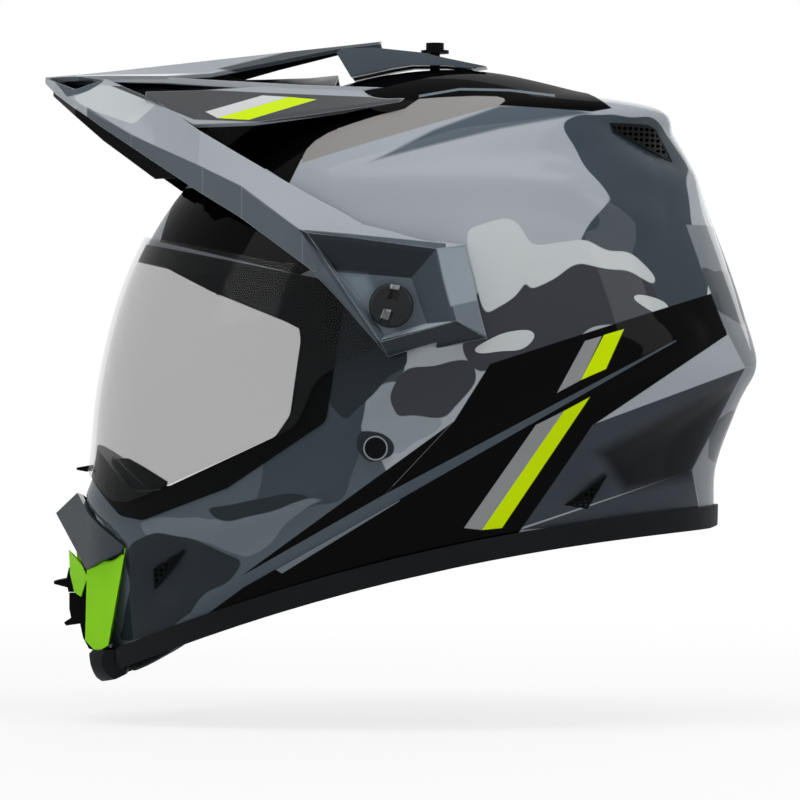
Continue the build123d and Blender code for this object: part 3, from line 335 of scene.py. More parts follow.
# Finishes by name, once they are made, and the plain ones: colour, roughness, grain scale, grain depth
# in mm, edge softness in mm, metallic and gloss
FINISHES = {}
DULL = {"Specular IOR Level": 0.04, "Coat IOR": 1.3}
COATED = {"Coat Weight": 0.3, **DULL}
PLAIN_FINISHES = {
    "peak_black": ("0b0c0d", 0.4, 700.0, 0.03, 0.3, 0.0, DULL),
    "tail_paint": ("59636d", 0.35, 1400.0, 0.006, 0.6, 0.0, COATED),
    "trim_rubber": ("1b1d1f", 0.6, 900.0, 0.05, 0.5, 0.0, DULL),
    "gasket_rubber": ("060707", 0.5, 900.0, 0.04, 0.5, 0.0, DULL),
    "guard_rubber": ("0b0c0d", 0.7, 700.0, 0.004, 0.5, 0.0, DULL),
    "black_plastic": ("0a0b0c", 0.45, 1100.0, 0.04, 0.3, 0.0, DULL),
    "brass_insert": ("b99a5c", 0.3, 300.0, 0.02, 0.3, 1.0),
    "plated_steel": ("b9bbbd", 0.25, 300.0, 0.02, 0.3, 1.0),
    "vent_cover_paint": ("2d363d", 0.35, 1500.0, 0.006, 0.8, 0.0, COATED),
    "mesh_black": ("08090a", 0.55, 900.0, 0.04, 0.2, 0.0, DULL),
    "slip_sheet": ("c9b04a", 0.5, 500.0, 0.03),
}


# Shell form

def level_at(place):
    """The shell's four shares at a place between its levels, on a smooth curve through them"""
    low = min(int(place), len(LEVELS) - 2)
    t = place - low
    rows = [LEVELS[min(max(low + step, 0), len(LEVELS) - 1)] for step in (-1, 0, 1, 2)]
    return [
        0.5 * (2 * b + (c - a) * t + (2 * a - 5 * b + 4 * c - d) * t**2 + (3 * b - a - 3 * c + d) * t**3)
        for a, b, c, d in zip(*rows)
    ]


def ring_at(place, out):
    """Height, middle, half length and half width of the shell's ring at a place, moved outward"""
    height, front, rear, width = level_at(place)
    lean = min(width, 1.0) if height > WIDEST else 1.0
    rise = sqrt(1 - lean**2)
    middle = (REAR_REACH * rear - FRONT_REACH * front) / 2
    length = (REAR_REACH * rear + FRONT_REACH * front) / 2 + out * lean
    return CROWN * height + out * rise, middle, length, HALF_WIDTH * width + out * lean


def place_of_height(z):
    """The place between the levels where the shell has a height"""
    low, high = 0.0, len(LEVELS) - 1.0
    for _ in range(HEIGHT_ROUNDS):
        half = (low + high) / 2
        if ring_at(half, 0)[0] < z:
            low = half
        else:
            high = half
    return low


def side_reach(x, z):
    """The shell's half width at a place in the side view"""
    _, middle, length, width = ring_at(place_of_height(z), 0)
    along = min(abs(x - middle) / length, 1.0)
    return width * (1 - along**FULLNESS) ** (1 / FULLNESS)


def seen_at(px, py, out=None):
    """The side-view place of a picture pixel, in mm, on the shell or at a distance from the middle"""
    x, y, z = 0.0, -HALF_WIDTH, VIEW_HEIGHT
    for _ in range(PIXEL_ROUNDS):
        depth = VIEW_DISTANCE - x * sin(VIEW_TURN) + y * cos(VIEW_TURN)
        scale = depth / VIEW_DISTANCE / PIXELS_PER_MM
        x = ((px - PICTURE / 2) * scale - y * sin(VIEW_TURN)) / cos(VIEW_TURN)
        z = VIEW_HEIGHT + (PICTURE / 2 - py) * scale
        y = -side_reach(x, z) if out is None else -out
    return x, z


def seen(places, out=None):
    """The side-view places of a list of pixels"""
    return [seen_at(px, py, out) for px, py in places]


# Objects and meshes

def link(name, mesh):
    """A new object in the scene"""
    piece = bpy.data.objects.new(name, mesh)
    bpy.context.scene.collection.objects.link(piece)
    return piece


def finish_mesh(bm, name, angle=SMOOTH):
    """A new object from a bmesh, smooth up to an angle"""
    mesh = bpy.data.meshes.new(name)
    bm.to_mesh(mesh)
    bm.free()
    smooth(mesh, angle)
    return link(name, mesh)


def smooth(mesh, angle=SMOOTH):
    """Shades a mesh smooth, with edges sharper than an angle in degrees left sharp"""
    mesh.polygons.foreach_set("use_smooth", [True] * len(mesh.polygons))
    mesh.set_sharp_from_angle(angle=radians(angle))


def settle(piece, angle=None):
    """Applies a piece's modifiers to its mesh"""
    bpy.context.view_layer.update()
    made = bpy.data.meshes.new_from_object(piece.evaluated_get(bpy.context.evaluated_depsgraph_get()))
    piece.modifiers.clear()
    old = piece.data
    piece.data = made
    if old.users == 0:
        bpy.data.meshes.remove(old)
    if angle is not None:
        smooth(piece.data, angle)


def discard(piece):
    """Removes a piece and its mesh"""
    mesh = piece.data
    bpy.data.objects.remove(piece)
    bpy.data.meshes.remove(mesh)


def carve(piece, tools, operation="DIFFERENCE", angle=SMOOTH):
    """Cuts tools from a piece, joins them to it or keeps what lies in them, and removes the tools"""
    for tool in tools:
        cut = piece.modifiers.new("Cut", "BOOLEAN")
        cut.operation = operation
        cut.solver = "EXACT"
        cut.object = tool
    settle(piece, angle)
    for tool in tools:
        discard(tool)


def side_bar(points, name):
    """A closed bar right across the helmet with an outline in the side view, in mm"""
    bm = bmesh.new()
    verts = [bm.verts.new((x * MM, -TOOL_REACH * MM, z * MM)) for x, z in points]
    face = bm.faces.new(verts)
    pushed = bmesh.ops.extrude_face_region(bm, geom=[face])
    bmesh.ops.translate(bm, vec=(0, 2 * TOOL_REACH * MM, 0),
                        verts=[v for v in pushed["geom"] if isinstance(v, bmesh.types.BMVert)])
    bmesh.ops.recalc_face_normals(bm, faces=bm.faces)
    return finish_mesh(bm, name)


def pin(place, diameter, name):
    """A closed round bar right across the helmet at a side-view place"""
    x, z = place
    bm = bmesh.new()
    turn = Matrix.Translation((x * MM, 0, z * MM)) @ Matrix.Rotation(pi / 2, 4, "X")
    bmesh.ops.create_cone(bm, cap_ends=True, segments=PIN_SIDES, radius1=diameter / 2 * MM,
                          radius2=diameter / 2 * MM, depth=2 * TOOL_REACH * MM, matrix=turn)
    return finish_mesh(bm, name)


def box_tool(low, high, name):
    """A closed box between two corners"""
    bm = bmesh.new()
    size = Vector(high) - Vector(low)
    middle = (Vector(high) + Vector(low)) / 2
    bmesh.ops.create_cube(bm, size=MM, matrix=Matrix.Translation(middle * MM) @ Matrix.Diagonal((*size, 1)))
    return finish_mesh(bm, name)


def corner_arcs(points, radius):
    """An outline with its corners rounded"""
    made = []
    for i, here in enumerate(points):
        before, after = Vector(points[i - 1]), Vector(points[(i + 1) % len(points)])
        here = Vector(here)
        back, on = before - here, after - here
        cut = min(radius, back.length / 3, on.length / 3)
        start, end = here + back.normalized() * cut, here + on.normalized() * cut
        for k in range(CORNER_STEPS + 1):
            t = k / CORNER_STEPS
            made.append(tuple((1 - t) ** 2 * start + 2 * t * (1 - t) * here + t**2 * end))
    return made


def distance_to_line(x, z, line):
    """Distance in the side view from a place to a chain of points"""
    best = 1e9
    for (ax, az), (bx, bz) in zip(line, line[1:]):
        run_x, run_z = bx - ax, bz - az
        t = ((x - ax) * run_x + (z - az) * run_z) / (run_x**2 + run_z**2)
        t = min(max(t, 0.0), 1.0)
        best = min(best, sqrt((x - ax - t * run_x) ** 2 + (z - az - t * run_z) ** 2))
    return best


def depth_inside(x, z, outline):
    """Depth of a place inside a convex outline given against the clock, negative outside"""
    return min(
        ((bx - ax) * (z - az) - (bz - az) * (x - ax)) / sqrt((bx - ax) ** 2 + (bz - az) ** 2)
        for (ax, az), (bx, bz) in zip(outline, outline[1:] + outline[:1])
    )


def hull_sheet(name, out, around, up, wall, sculpt=None):
    """The shell's outer form as a sheet moved outward and walled inward, with its surface moved by sculpt"""
    bm = bmesh.new()
    bmesh.ops.create_grid(bm, x_segments=around, y_segments=up, size=1.0)
    top = len(LEVELS) - 1
    for v in bm.verts:
        turn = (v.co.x + 1) * pi
        height, middle, length, width = ring_at((v.co.y + 1) / 2 * top, out)
        c, s = cos(turn), sin(turn)
        x = middle + length * (abs(c) ** (2 / FULLNESS)) * (1 if c >= 0 else -1)
        y = width * (abs(s) ** (2 / FULLNESS)) * (1 if s >= 0 else -1)
        v.co = Vector((x, y, height)) * MM
    bmesh.ops.remove_doubles(bm, verts=bm.verts, dist=SEAM_MERGE * MM)
    rim = [e for e in bm.edges if e.is_boundary and min(v.co.z for v in e.verts) > CROWN / 2 * MM]
    bmesh.ops.contextual_create(bm, geom=rim)
    bmesh.ops.recalc_face_normals(bm, faces=bm.faces)
    if max(bm.faces, key=lambda f: f.calc_center_median().z).normal.z < 0:
        bmesh.ops.reverse_faces(bm, faces=bm.faces)
    if sculpt:
        bm.normal_update()
        moves = [(v, v.normal.copy(), sculpt(v.co.x / MM, v.co.y / MM, v.co.z / MM)) for v in bm.verts]
        for v, normal, move in moves:
            v.co += normal * move * MM
    bmesh.ops.solidify(bm, geom=bm.faces[:], thickness=wall * MM)
    bmesh.ops.recalc_face_normals(bm, faces=bm.faces)
    return finish_mesh(bm, name)


def merged_copy(node):
    """A bmesh with a CAD node's shape, with its loose triangles merged"""
    bm = bmesh.new()
    bm.from_mesh(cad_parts[node].data)
    bmesh.ops.remove_doubles(bm, verts=bm.verts, dist=MERGE * MM)
    return bm


def copy_of(node, name, angle=SMOOTH, bevel=0.0):
    """A piece with a CAD node's shape, merged so that it can be smooth, with its edges rounded in mm"""
    bm = merged_copy(node)
    bmesh.ops.dissolve_limit(bm, angle_limit=radians(FLAT), verts=bm.verts, edges=bm.edges)
    piece = finish_mesh(bm, name, angle)
    if bevel:
        soften = piece.modifiers.new("Soften", "BEVEL")
        soften.width = bevel * MM
        soften.segments = BEVEL_STEPS
        soften.limit_method = "ANGLE"
        soften.angle_limit = radians(angle)
        settle(piece, angle)
    return piece


def dress(piece, finish):
    """Gives a piece its finish"""
    piece.data.materials.clear()
    piece.data.materials.append(FINISHES[finish])


def dress_nodes(finishes):
    """Gives CAD nodes their finishes, by name"""
    for node, finish in finishes.items():
        dress(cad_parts[node], finish)


def stand_in(piece, node, body, finish):
    """Gives a new piece its finish, and puts it in a CAD node's place on a body"""
    dress(piece, finish)
    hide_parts(node)
    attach(piece, body)


# Materials

def tone(code):
    """Linear colour of a six-digit display colour"""
    parts = [int(code[i:i + 2], 16) / 255 for i in (0, 2, 4)]
    return tuple(c / 12.92 if c <= 0.04045 else ((c + 0.055) / 1.055) ** 2.4 for c in parts) + (1.0,)


def opaque(color):
    """A colour of three numbers with full alpha"""
    return tuple(color) + (1.0,)


class Field:
    """A number that varies over a surface; arithmetic on fields adds Math nodes"""

    def __init__(self, maker, socket):
        self.maker = maker
        self.socket = socket

    def _with(self, operation, first, second):
        made = self.maker.node("ShaderNodeMath", {"operation": operation}, {0: first, 1: second})
        return Field(self.maker, made.outputs[0])

    def __add__(self, other):
        return self._with("ADD", self, other)

    def __radd__(self, other):
        return self._with("ADD", other, self)

    def __sub__(self, other):
        return self._with("SUBTRACT", self, other)

    def __rsub__(self, other):
        return self._with("SUBTRACT", other, self)

    def __mul__(self, other):
        return self._with("MULTIPLY", self, other)

    def __rmul__(self, other):
        return self._with("MULTIPLY", other, self)

    def least(self, other, join=0.0):
        """The smaller of two fields, with a rounded corner where join is given"""
        return self._joined("MINIMUM", "SMOOTH_MIN", other, join)

    def most(self, other, join=0.0):
        """The larger of two fields, with a rounded corner where join is given"""
        return self._joined("MAXIMUM", "SMOOTH_MAX", other, join)

    def _joined(self, plain, rounded, other, join):
        if not join:
            return self._with(plain, self, other)
        made = self.maker.node("ShaderNodeMath", {"operation": rounded}, {0: self, 1: other, 2: join})
        return Field(self.maker, made.outputs[0])

    def above(self, edge, softness):
        """0 below an edge and 1 above it, with a soft step between"""
        made = self.maker.node(
            "ShaderNodeMapRange", {"interpolation_type": "SMOOTHSTEP"},
            {"Value": self, "From Min": edge - softness, "From Max": edge + softness},
        )
        return Field(self.maker, made.outputs["Result"])


class Maker:
    """Adds nodes to a tree and feeds their sockets"""

    def __init__(self, tree):
        self.tree = tree

    def node(self, kind, settings=None, inputs=None):
        made = self.tree.nodes.new(kind)
        for key, value in (settings or {}).items():
            setattr(made, key, value)
        for key, value in (inputs or {}).items():
            self.feed(made.inputs[key], value)
        return made

    def feed(self, socket, value):
        if isinstance(value, Field):
            value = value.socket
        if isinstance(value, bpy.types.NodeSocket):
            self.tree.links.new(value, socket)
        elif hasattr(socket.default_value, "__len__") and not hasattr(value, "__len__"):
            socket.default_value = [value] * len(socket.default_value)
        else:
            socket.default_value = value

    def open_ways(self):
        """1 for rays from the camera, from gloss and through glass, which see the white background"""
        paths = self.node("ShaderNodeLightPath")
        ways = [Field(self, paths.outputs[f"Is {kind} Ray"]) for kind in ("Camera", "Glossy", "Transmission")]
        return ways[0].most(ways[1]).most(ways[2])


class Finish(Maker):
    """Builds one material round a Principled shader, with a colour that is laid on field by field"""

    def __init__(self, name, color, roughness, metallic=0.0, gloss=None):
        self.material = bpy.data.materials.new(name)
        self.material.use_nodes = True
        super().__init__(self.material.node_tree)
        self.shader = self.tree.nodes["Principled BSDF"]
        self.color = color
        self.set("Base Color", color)
        self.set("Roughness", roughness)
        self.set("Metallic", metallic)
        for socket, value in (gloss or {}).items():
            self.set(socket, value)
        self.place = self.node("ShaderNodeTexCoord").outputs["Object"]

    def set(self, name, value):
        self.feed(self.shader.inputs[name], value)

    def axes(self):
        """The three coordinates of the surface as fields, in mm"""
        parts = self.node("ShaderNodeSeparateXYZ", None, {0: self.place})
        return [Field(self, parts.outputs[i]) * (1 / MM) for i in range(3)]

    def noise(self, scale, detail=2.0):
        made = self.node("ShaderNodeTexNoise", None, {
            "Vector": self.place, "Scale": scale, "Detail": detail, "Roughness": 0.5,
        })
        return Field(self, made.outputs["Fac"])

    def blend(self, mask, under, over):
        """One colour over another where the mask is 1"""
        made = self.node("ShaderNodeMix", {"data_type": "RGBA"}, {"Factor": mask, 6: under, 7: over})
        return made.outputs[2]

    def lay(self, color, mask):
        """Lays a colour over what is there, where the mask is 1"""
        self.color = self.blend(mask, self.color, color)

    def bump(self, height, depth, soft_edge=0.0):
        """Fine relief, with the edges of the piece softened where soft_edge is given, in mm"""
        made = self.node("ShaderNodeBump", None, {"Height": height, "Distance": depth * MM, "Strength": 1.0})
        if soft_edge:
            made_edge = self.node("ShaderNodeBevel", {"samples": EDGE_SAMPLES}, {"Radius": soft_edge * MM})
            self.feed(made.inputs["Normal"], made_edge.outputs[0])
        self.set("Normal", made.outputs[0])

    def with_edge_highlight(self, color):
        """The colour with a painted highlight along the edges of the piece"""
        rounded = self.node("ShaderNodeBevel", {"samples": EDGE_SAMPLES}, {"Radius": EDGE_REACH * MM})
        flat = self.node("ShaderNodeNewGeometry")
        match = self.node("ShaderNodeVectorMath", {"operation": "DOT_PRODUCT"},
                          {0: rounded.outputs[0], 1: flat.outputs["Normal"]})
        edge = (1 - Field(self, match.outputs["Value"])).above(EDGE_TURN, EDGE_SOFTNESS)
        return self.blend(edge * EDGE_HIGHLIGHT_GAIN, color, tone(EDGE_HIGHLIGHT_TONE))

    def depth_in(self, points, place, corner):
        """Depth in mm inside a convex outline in the side view"""
        area = sum(ax * bz - bx * az for (ax, az), (bx, bz) in zip(points, points[1:] + points[:1]))
        ordered = points if area > 0 else points[::-1]
        depth = None
        for (ax, az), (bx, bz) in zip(ordered, ordered[1:] + ordered[:1]):
            run = sqrt((bx - ax) ** 2 + (bz - az) ** 2)
            inward = (-(bz - az) / run, 0.0, (bx - ax) / run)
            made = self.node("ShaderNodeVectorMath", {"operation": "DOT_PRODUCT"},
                             {0: place, 1: [n / MM for n in inward]})
            gap = Field(self, made.outputs["Value"]) - (ax * inward[0] + az * inward[2])
            depth = gap if depth is None else depth.least(gap, corner)
        return depth

    def areas(self, outlines, softness=0.25, place=None, out=None, corner=0.0):
        """1 inside any of several convex outlines given in picture pixels"""
        depth = None
        for outline in outlines:
            part = self.depth_in(seen(outline, out), place or self.place, corner)
            depth = part if depth is None else depth.most(part, corner)
        return depth.above(0.0, softness)

    def ragged(self, reach, scale):
        """The surface's place moved about by noise, for edges that wander"""
        shift = self.node("ShaderNodeTexNoise", None, {"Vector": self.place, "Scale": scale, "Detail": 1.0})
        centred = self.node("ShaderNodeVectorMath", {"operation": "SUBTRACT"},
                            {0: shift.outputs["Color"], 1: (0.5, 0.5, 0.5)})
        scaled = self.node("ShaderNodeVectorMath", {"operation": "SCALE"},
                           {0: centred.outputs[0], "Scale": reach * MM})
        return self.node("ShaderNodeVectorMath", {"operation": "ADD"},
                         {0: self.place, 1: scaled.outputs[0]}).outputs[0]

    def patches(self, ovals, place, softness=0.012, join=0.3):
        """1 inside a list of ovals (middle, half sizes in mm, tilt in degrees) that flow into each other"""
        reach = None
        for cx, cz, half_x, half_z, tilt in ovals:
            moved = self.node("ShaderNodeMapping", {"vector_type": "TEXTURE"}, {
                "Vector": place, "Location": (cx * MM, 0.0, cz * MM), "Rotation": (0.0, -radians(tilt), 0.0),
                "Scale": (half_x * MM, 1000.0, half_z * MM),
            })
            length = self.node("ShaderNodeVectorMath", {"operation": "LENGTH"}, {0: moved.outputs[0]})
            length = Field(self, length.outputs["Value"])
            reach = length if reach is None else reach.least(length, join)
        return (1 - reach).above(0.0, softness)


def ovals_seen(rows):
    """Ovals in mm from their middles and half sizes in picture pixels"""
    return [
        (*seen_at(px, py), half_x / PIXELS_PER_MM, half_y / PIXELS_PER_MM, tilt)
        for px, py, half_x, half_y, tilt in rows
    ]


def plain_finish(name, color, roughness, grain_scale, grain_depth, soft_edge=0.3, metallic=0.0, gloss=None):
    """A moulded, rolled or cast finish: a slight drift of tone and a fine grain"""
    finish = Finish(name, color, roughness, metallic, gloss)
    darker = opaque(c * 0.8 for c in color[:3])
    finish.set("Base Color", finish.blend(finish.noise(18.0, 3.0).above(0.5, 0.3), color, darker))
    finish.set("Roughness", finish.noise(140.0) * 0.12 + (roughness - 0.06))
    finish.bump(finish.noise(grain_scale), grain_depth, soft_edge)
    FINISHES[name] = finish.material
    return finish


def woven_finish(name, color, thread, depth, sheen):
    """Cloth: threads that cross at a pitch in mm"""
    finish = Finish(name, color, 0.9, 0.0, {
        "Sheen Weight": sheen, "Sheen Roughness": 0.5, "Specular IOR Level": 0.1,
    })
    turn = 2 * pi / thread
    x, y, z = finish.axes()
    waves = []
    for way in (x + z, y + z * 0.7 - x * 0.4):
        made = finish.node("ShaderNodeMath", {"operation": "SINE"}, {0: way * turn})
        waves.append(Field(finish, made.outputs[0]))
    weave = waves[0] * waves[1] * 0.5 + 0.5
    fuzz = finish.noise(900.0)
    lighter = opaque(min(c * 1.9 + 0.004, 1.0) for c in color[:3])
    finish.set("Base Color", finish.blend(weave * 0.6 + fuzz * 0.3, color, lighter))
    finish.bump(weave + fuzz * 0.4, depth)
    FINISHES[name] = finish.material


def lacquer(name, silver, coat_roughness, drift):
    """The start of a gloss lacquer: silver grey that drifts to another tone"""
    finish = Finish(name, silver, 0.3, 0.0, {
        "Coat Roughness": coat_roughness, "Coat IOR": 1.3, "Specular IOR Level": 0.0,
    })
    finish.lay(drift, finish.noise(7.0, 1.0).above(0.5, 0.4))
    finish.set("Roughness", finish.noise(90.0) * 0.06 + 0.27)
    FINISHES[name] = finish.material
    return finish


def shell_paint(look):
    """Gloss lacquer: a camouflage of greys, black fields and slanted stripes, the same on both sides, with
    painted shade on the lower front and in the rear hollow, and a painted reflection along one crease
    """
    warm, light = tone("383a41"), tone("bcc1c3")
    finish = lacquer("shell_paint", opaque(look.silver), 0.04, tone("959ba2"))
    wander = finish.ragged(20.0, 24.0)

    def camo(outlines, corner=7.0):
        return finish.areas(outlines, 0.3, wander, None, corner)

    # Painted shade over the lower front, where the chin and jaw face away from the top light
    finish.lay(tone("4d575f"), finish.areas(CHIN_PAINTED_SHADE, 0.5))
    finish.lay(opaque(look.slate), camo(SLATE_PATCHES))
    finish.lay(warm, camo(WARM_PATCHES))
    finish.lay(light, camo(LIGHT_PATCHES).most(finish.patches(ovals_seen(LIGHT_OVALS), wander)))
    finish.lay(tone("868f96"), camo(CHEEK_GREY))
    finish.lay(warm, camo(CHEEK_WARM))
    finish.lay(tone("666f77"), camo(JAW_GREYS, 4.0))
    finish.lay(tone("232a30"), camo(DEEP_PATCHES))

    taupe = finish.areas(CROWN_TAUPE)
    crown = finish.areas(CROWN_BLACK) * (1.0 - taupe)
    black = crown.most(finish.areas(SIDE_BLACK) * (1.0 - taupe))
    finish.lay(tone("4b5660"), finish.areas(CREASE_SLATE, 1.0))
    finish.lay(tone("8b8987"), taupe)
    # Painted shade in the rear hollow: the slate there is darkened, and darker still in its middle
    finish.lay(tone("363c44"), finish.areas(REAR_SLATE_AND_SHADE))
    finish.lay(tone("101216"), finish.areas(REAR_HOLLOW_SHADE, 4.0))
    finish.lay(tone("040405"), black)
    rear = finish.blend(camo(REAR_BAND_PATCHES), tone("777d84"), tone("4a5056"))
    finish.lay(rear, finish.areas(REAR_BAND, 0.4))
    finish.lay(tone("4a545c"), finish.areas(SIDE_BAND, 0.15))
    # Thin grey lines, the first of them a painted reflection along a crease
    finish.lay(tone("6d767e"), finish.areas(THIN_LINES_AND_CREASE_REFLECTION, 0.12))
    finish.lay(tone("8b8d8f"), finish.areas(GREY_STRIPES, 0.15))
    finish.lay(opaque(look.stripe), finish.areas(BRIGHT_STRIPES, 0.15))

    finish.set("Base Color", finish.color)
    finish.set("Coat Weight", SHELL_COAT - black * BLACK_LOSS - crown * CROWN_LOSS)
    finish.bump(finish.noise(PAINT_GRAIN, 1.0), PAINT_GRAIN_DEPTH)


def peak_paint(look):
    """The peak's lacquer: the shell's greys, one slanted stripe on each top panel, painted highlights and
    painted shade on the pods and the arms' lower bands, and painted highlights along the edges
    """
    finish = lacquer("peak_paint", opaque(look.silver), 0.05, tone("979da3"))
    wander = finish.ragged(7.0, 16.0)
    finish.lay(tone("b9bec1"), finish.areas(TIP_LIGHT, 0.2, wander, TIP_LIGHT_OUT, 3.0))
    finish.lay(tone("444b52"), finish.areas(PEAK_TOP_REAR, 0.6, None, ROOF_OUT))
    finish.lay(tone("4b545c"), finish.areas(TIP_SLATE, 0.2, wander, TIP_SLATE_OUT, 2.0))
    # Painted shade on the arms' down-facing lower band
    finish.lay(tone("5c646b"), finish.areas(ARM_UNDERSIDE_SHADE, 0.3, None, ARM_OUT))
    # The pod's facets, as painted highlights and painted shade
    for outline, out, softness, code in POD_LIT_AND_SHADED_FACETS:
        finish.lay(tone(code), finish.areas([outline], softness, None, out))
    finish.lay(tone("8f9aa2"), finish.areas(POD_REAR_HIGHLIGHT, 0.6, wander, POD_REAR_OUT))
    finish.lay(tone("2a3138"), finish.areas(POD_UNDERSIDE_SHADE, 0.2, None, POD_UNDERSIDE_OUT))
    finish.lay(tone("4a4b4e"), finish.areas(TOP_PANEL, 0.25, None, TOP_PANEL_OUT))
    finish.lay(tone("c9cbcc"), finish.areas(PANEL_GREY_STRIPE, 0.15, None, PANEL_STRIPE_OUT))
    finish.lay(opaque(look.stripe), finish.areas(PANEL_BRIGHT_STRIPE, 0.15, None, PANEL_STRIPE_OUT))
    # Painted highlight along the peak's edges
    finish.set("Base Color", finish.with_edge_highlight(finish.color))
    finish.set("Coat Weight", PEAK_COAT - finish.areas(PEAK_ROOF, 0.5, None, ROOF_OUT) * ROOF_LOSS)
    finish.bump(finish.noise(PAINT_GRAIN, 1.0), PAINT_GRAIN_DEPTH, 0.8)


def shield_finish(look):
    """Clear moulded shield with a faint smoke tint, glossy on both faces"""
    finish = Finish("clear_shield", opaque(look.shield_tint), 0.03, 0.0, {"Specular IOR Level": 0.2})
    finish.set("Alpha", finish.noise(12.0) * 0.02 + (look.shield_density - 0.01))
    finish.set("Roughness", finish.noise(60.0) * 0.03 + 0.02)
    FINISHES["clear_shield"] = finish.material


def screw_finish():
    """Black plastic with painted shade in its slot and painted highlights at the slot's ends"""
    plastic = tone("17181a")
    finish = plain_finish("screw_plastic", plastic, 0.35, 1200.0, 0.02, 0.8, 0.0, {"Specular IOR Level": 0.2})
    # Painted highlights at the slot's ends, and painted shade in the slot
    finish.lay(tone("909295"), finish.areas(SLOT_END_HIGHLIGHTS, 0.15, None, SCREW_OUT))
    finish.lay(tone("030303"), finish.areas(SLOT_SHADE, 0.15, None, SCREW_OUT))
    finish.set("Base Color", finish.color)


def rivet_finish():
    """Black rivet with a light ring on its cap"""
    finish = plain_finish("rivet_black", tone("08090b"), 0.3, 400.0, 0.02, 0.5, 0.0, DULL)
    outer, inner = (
        finish.patches([(*RIVET, reach, reach, 0)], finish.place, 0.03)
        for reach in (RIVET_RING_OUTER, RIVET_RING_INNER)
    )
    finish.set("Base Color", finish.blend(outer - inner, tone("0c0d0f"), tone("8a8f94")))


def foam_finish():
    """Black foam of small beads"""
    finish = plain_finish("foam_black", tone("141517"), 0.85, 900.0, 0.1, 0.3, 0.0, DULL)
    beads = finish.node("ShaderNodeTexVoronoi", None, {"Vector": finish.place, "Scale": 320.0})
    finish.bump(beads.outputs["Distance"], 0.25)


def make_finishes(look):
    """Makes every finish, by name"""
    shell_paint(look)
    peak_paint(look)
    shield_finish(look)
    for name, (code, *rest) in PLAIN_FINISHES.items():
        plain_finish(name, tone(code), *rest)
    plain_finish("vent_green", opaque(look.green), 0.35, 1500.0, 0.006, 0.8, 0.0,
                 {"Coat Weight": 0.1, **DULL})
    screw_finish()
    rivet_finish()
    foam_finish()
    woven_finish("lining_fabric", tone("15181b"), 1.6, 0.12, 0.15)
    woven_finish("webbing", tone("0f1011"), 2.2, 0.35, 0.1)


# Settings

class HelmetLook(bpy.types.PropertyGroup):
    silver: FloatVectorProperty(name="Silver grey", description="Base colour of the shell and peak",
                                subtype="COLOR", size=3, default=tone("a3a9b0")[:3], min=0, max=1)
    slate: FloatVectorProperty(name="Slate", description="Dark colour of the camouflage",
                               subtype="COLOR", size=3, default=tone("39434b")[:3], min=0, max=1)
    stripe: FloatVectorProperty(name="Stripe", description="Colour of the bright stripes",
                                subtype="COLOR", size=3, default=tone("c8e500")[:3], min=0, max=1)
    green: FloatVectorProperty(name="Vent green", description="Colour of the chin vent",
                               subtype="COLOR", size=3, default=tone("8ede00")[:3], min=0, max=1)
    shield_tint: FloatVectorProperty(name="Shield tint", description="Colour of the clear shield",
                                     subtype="COLOR", size=3, default=tone("1c1e20")[:3], min=0, max=1)
    shield_density: FloatProperty(name="Shield density", description="How much the shield hides",
                                  default=0.21, min=0.0, max=1.0)


class HelmetSizes(bpy.types.PropertyGroup):
    crease: FloatProperty(name="Crease height", description="How far the shell's creases stand out",
                          subtype="DISTANCE", default=2.2 * MM, min=0, max=4 * MM)
    crease_reach: FloatProperty(name="Crease reach", description="How far a crease spreads on each side",
                                subtype="DISTANCE", default=17.0 * MM, min=2 * MM, max=40 * MM)
    around: IntProperty(name="Shell steps around", description="Faces round the shell", default=280,
                        min=40, max=400)
    up: IntProperty(name="Shell steps up", description="Faces from the shell's edge to its crown",
                    default=130, min=40, max=300)
    pad_voxel: FloatProperty(name="Pad grid", description="Grid that the pads are rebuilt on",
                             subtype="DISTANCE", default=4.0 * MM, min=2 * MM, max=8 * MM)
    pad_pressure: FloatProperty(name="Pad pressure", description="How hard the padding pushes out",
                                default=4.0, min=0.0, max=10.0)


# Pieces

def edge_height(x):
    """Height of the shell's lower edge: one arc through three places"""
    (ax, az), (bx, bz), (cx, cz) = EDGE_PLACES
    d = 2 * (ax * (bz - cz) + bx * (cz - az) + cx * (az - bz))
    a2, b2, c2 = ax**2 + az**2, bx**2 + bz**2, cx**2 + cz**2
    ox = (a2 * (bz - cz) + b2 * (cz - az) + c2 * (az - bz)) / d
    oz = (a2 * (cx - bx) + b2 * (ax - cx) + c2 * (bx - ax)) / d
    radius = sqrt((ax - ox) ** 2 + (az - oz) ** 2)
    return oz + sqrt(max(radius**2 - (x - ox) ** 2, 0.0))


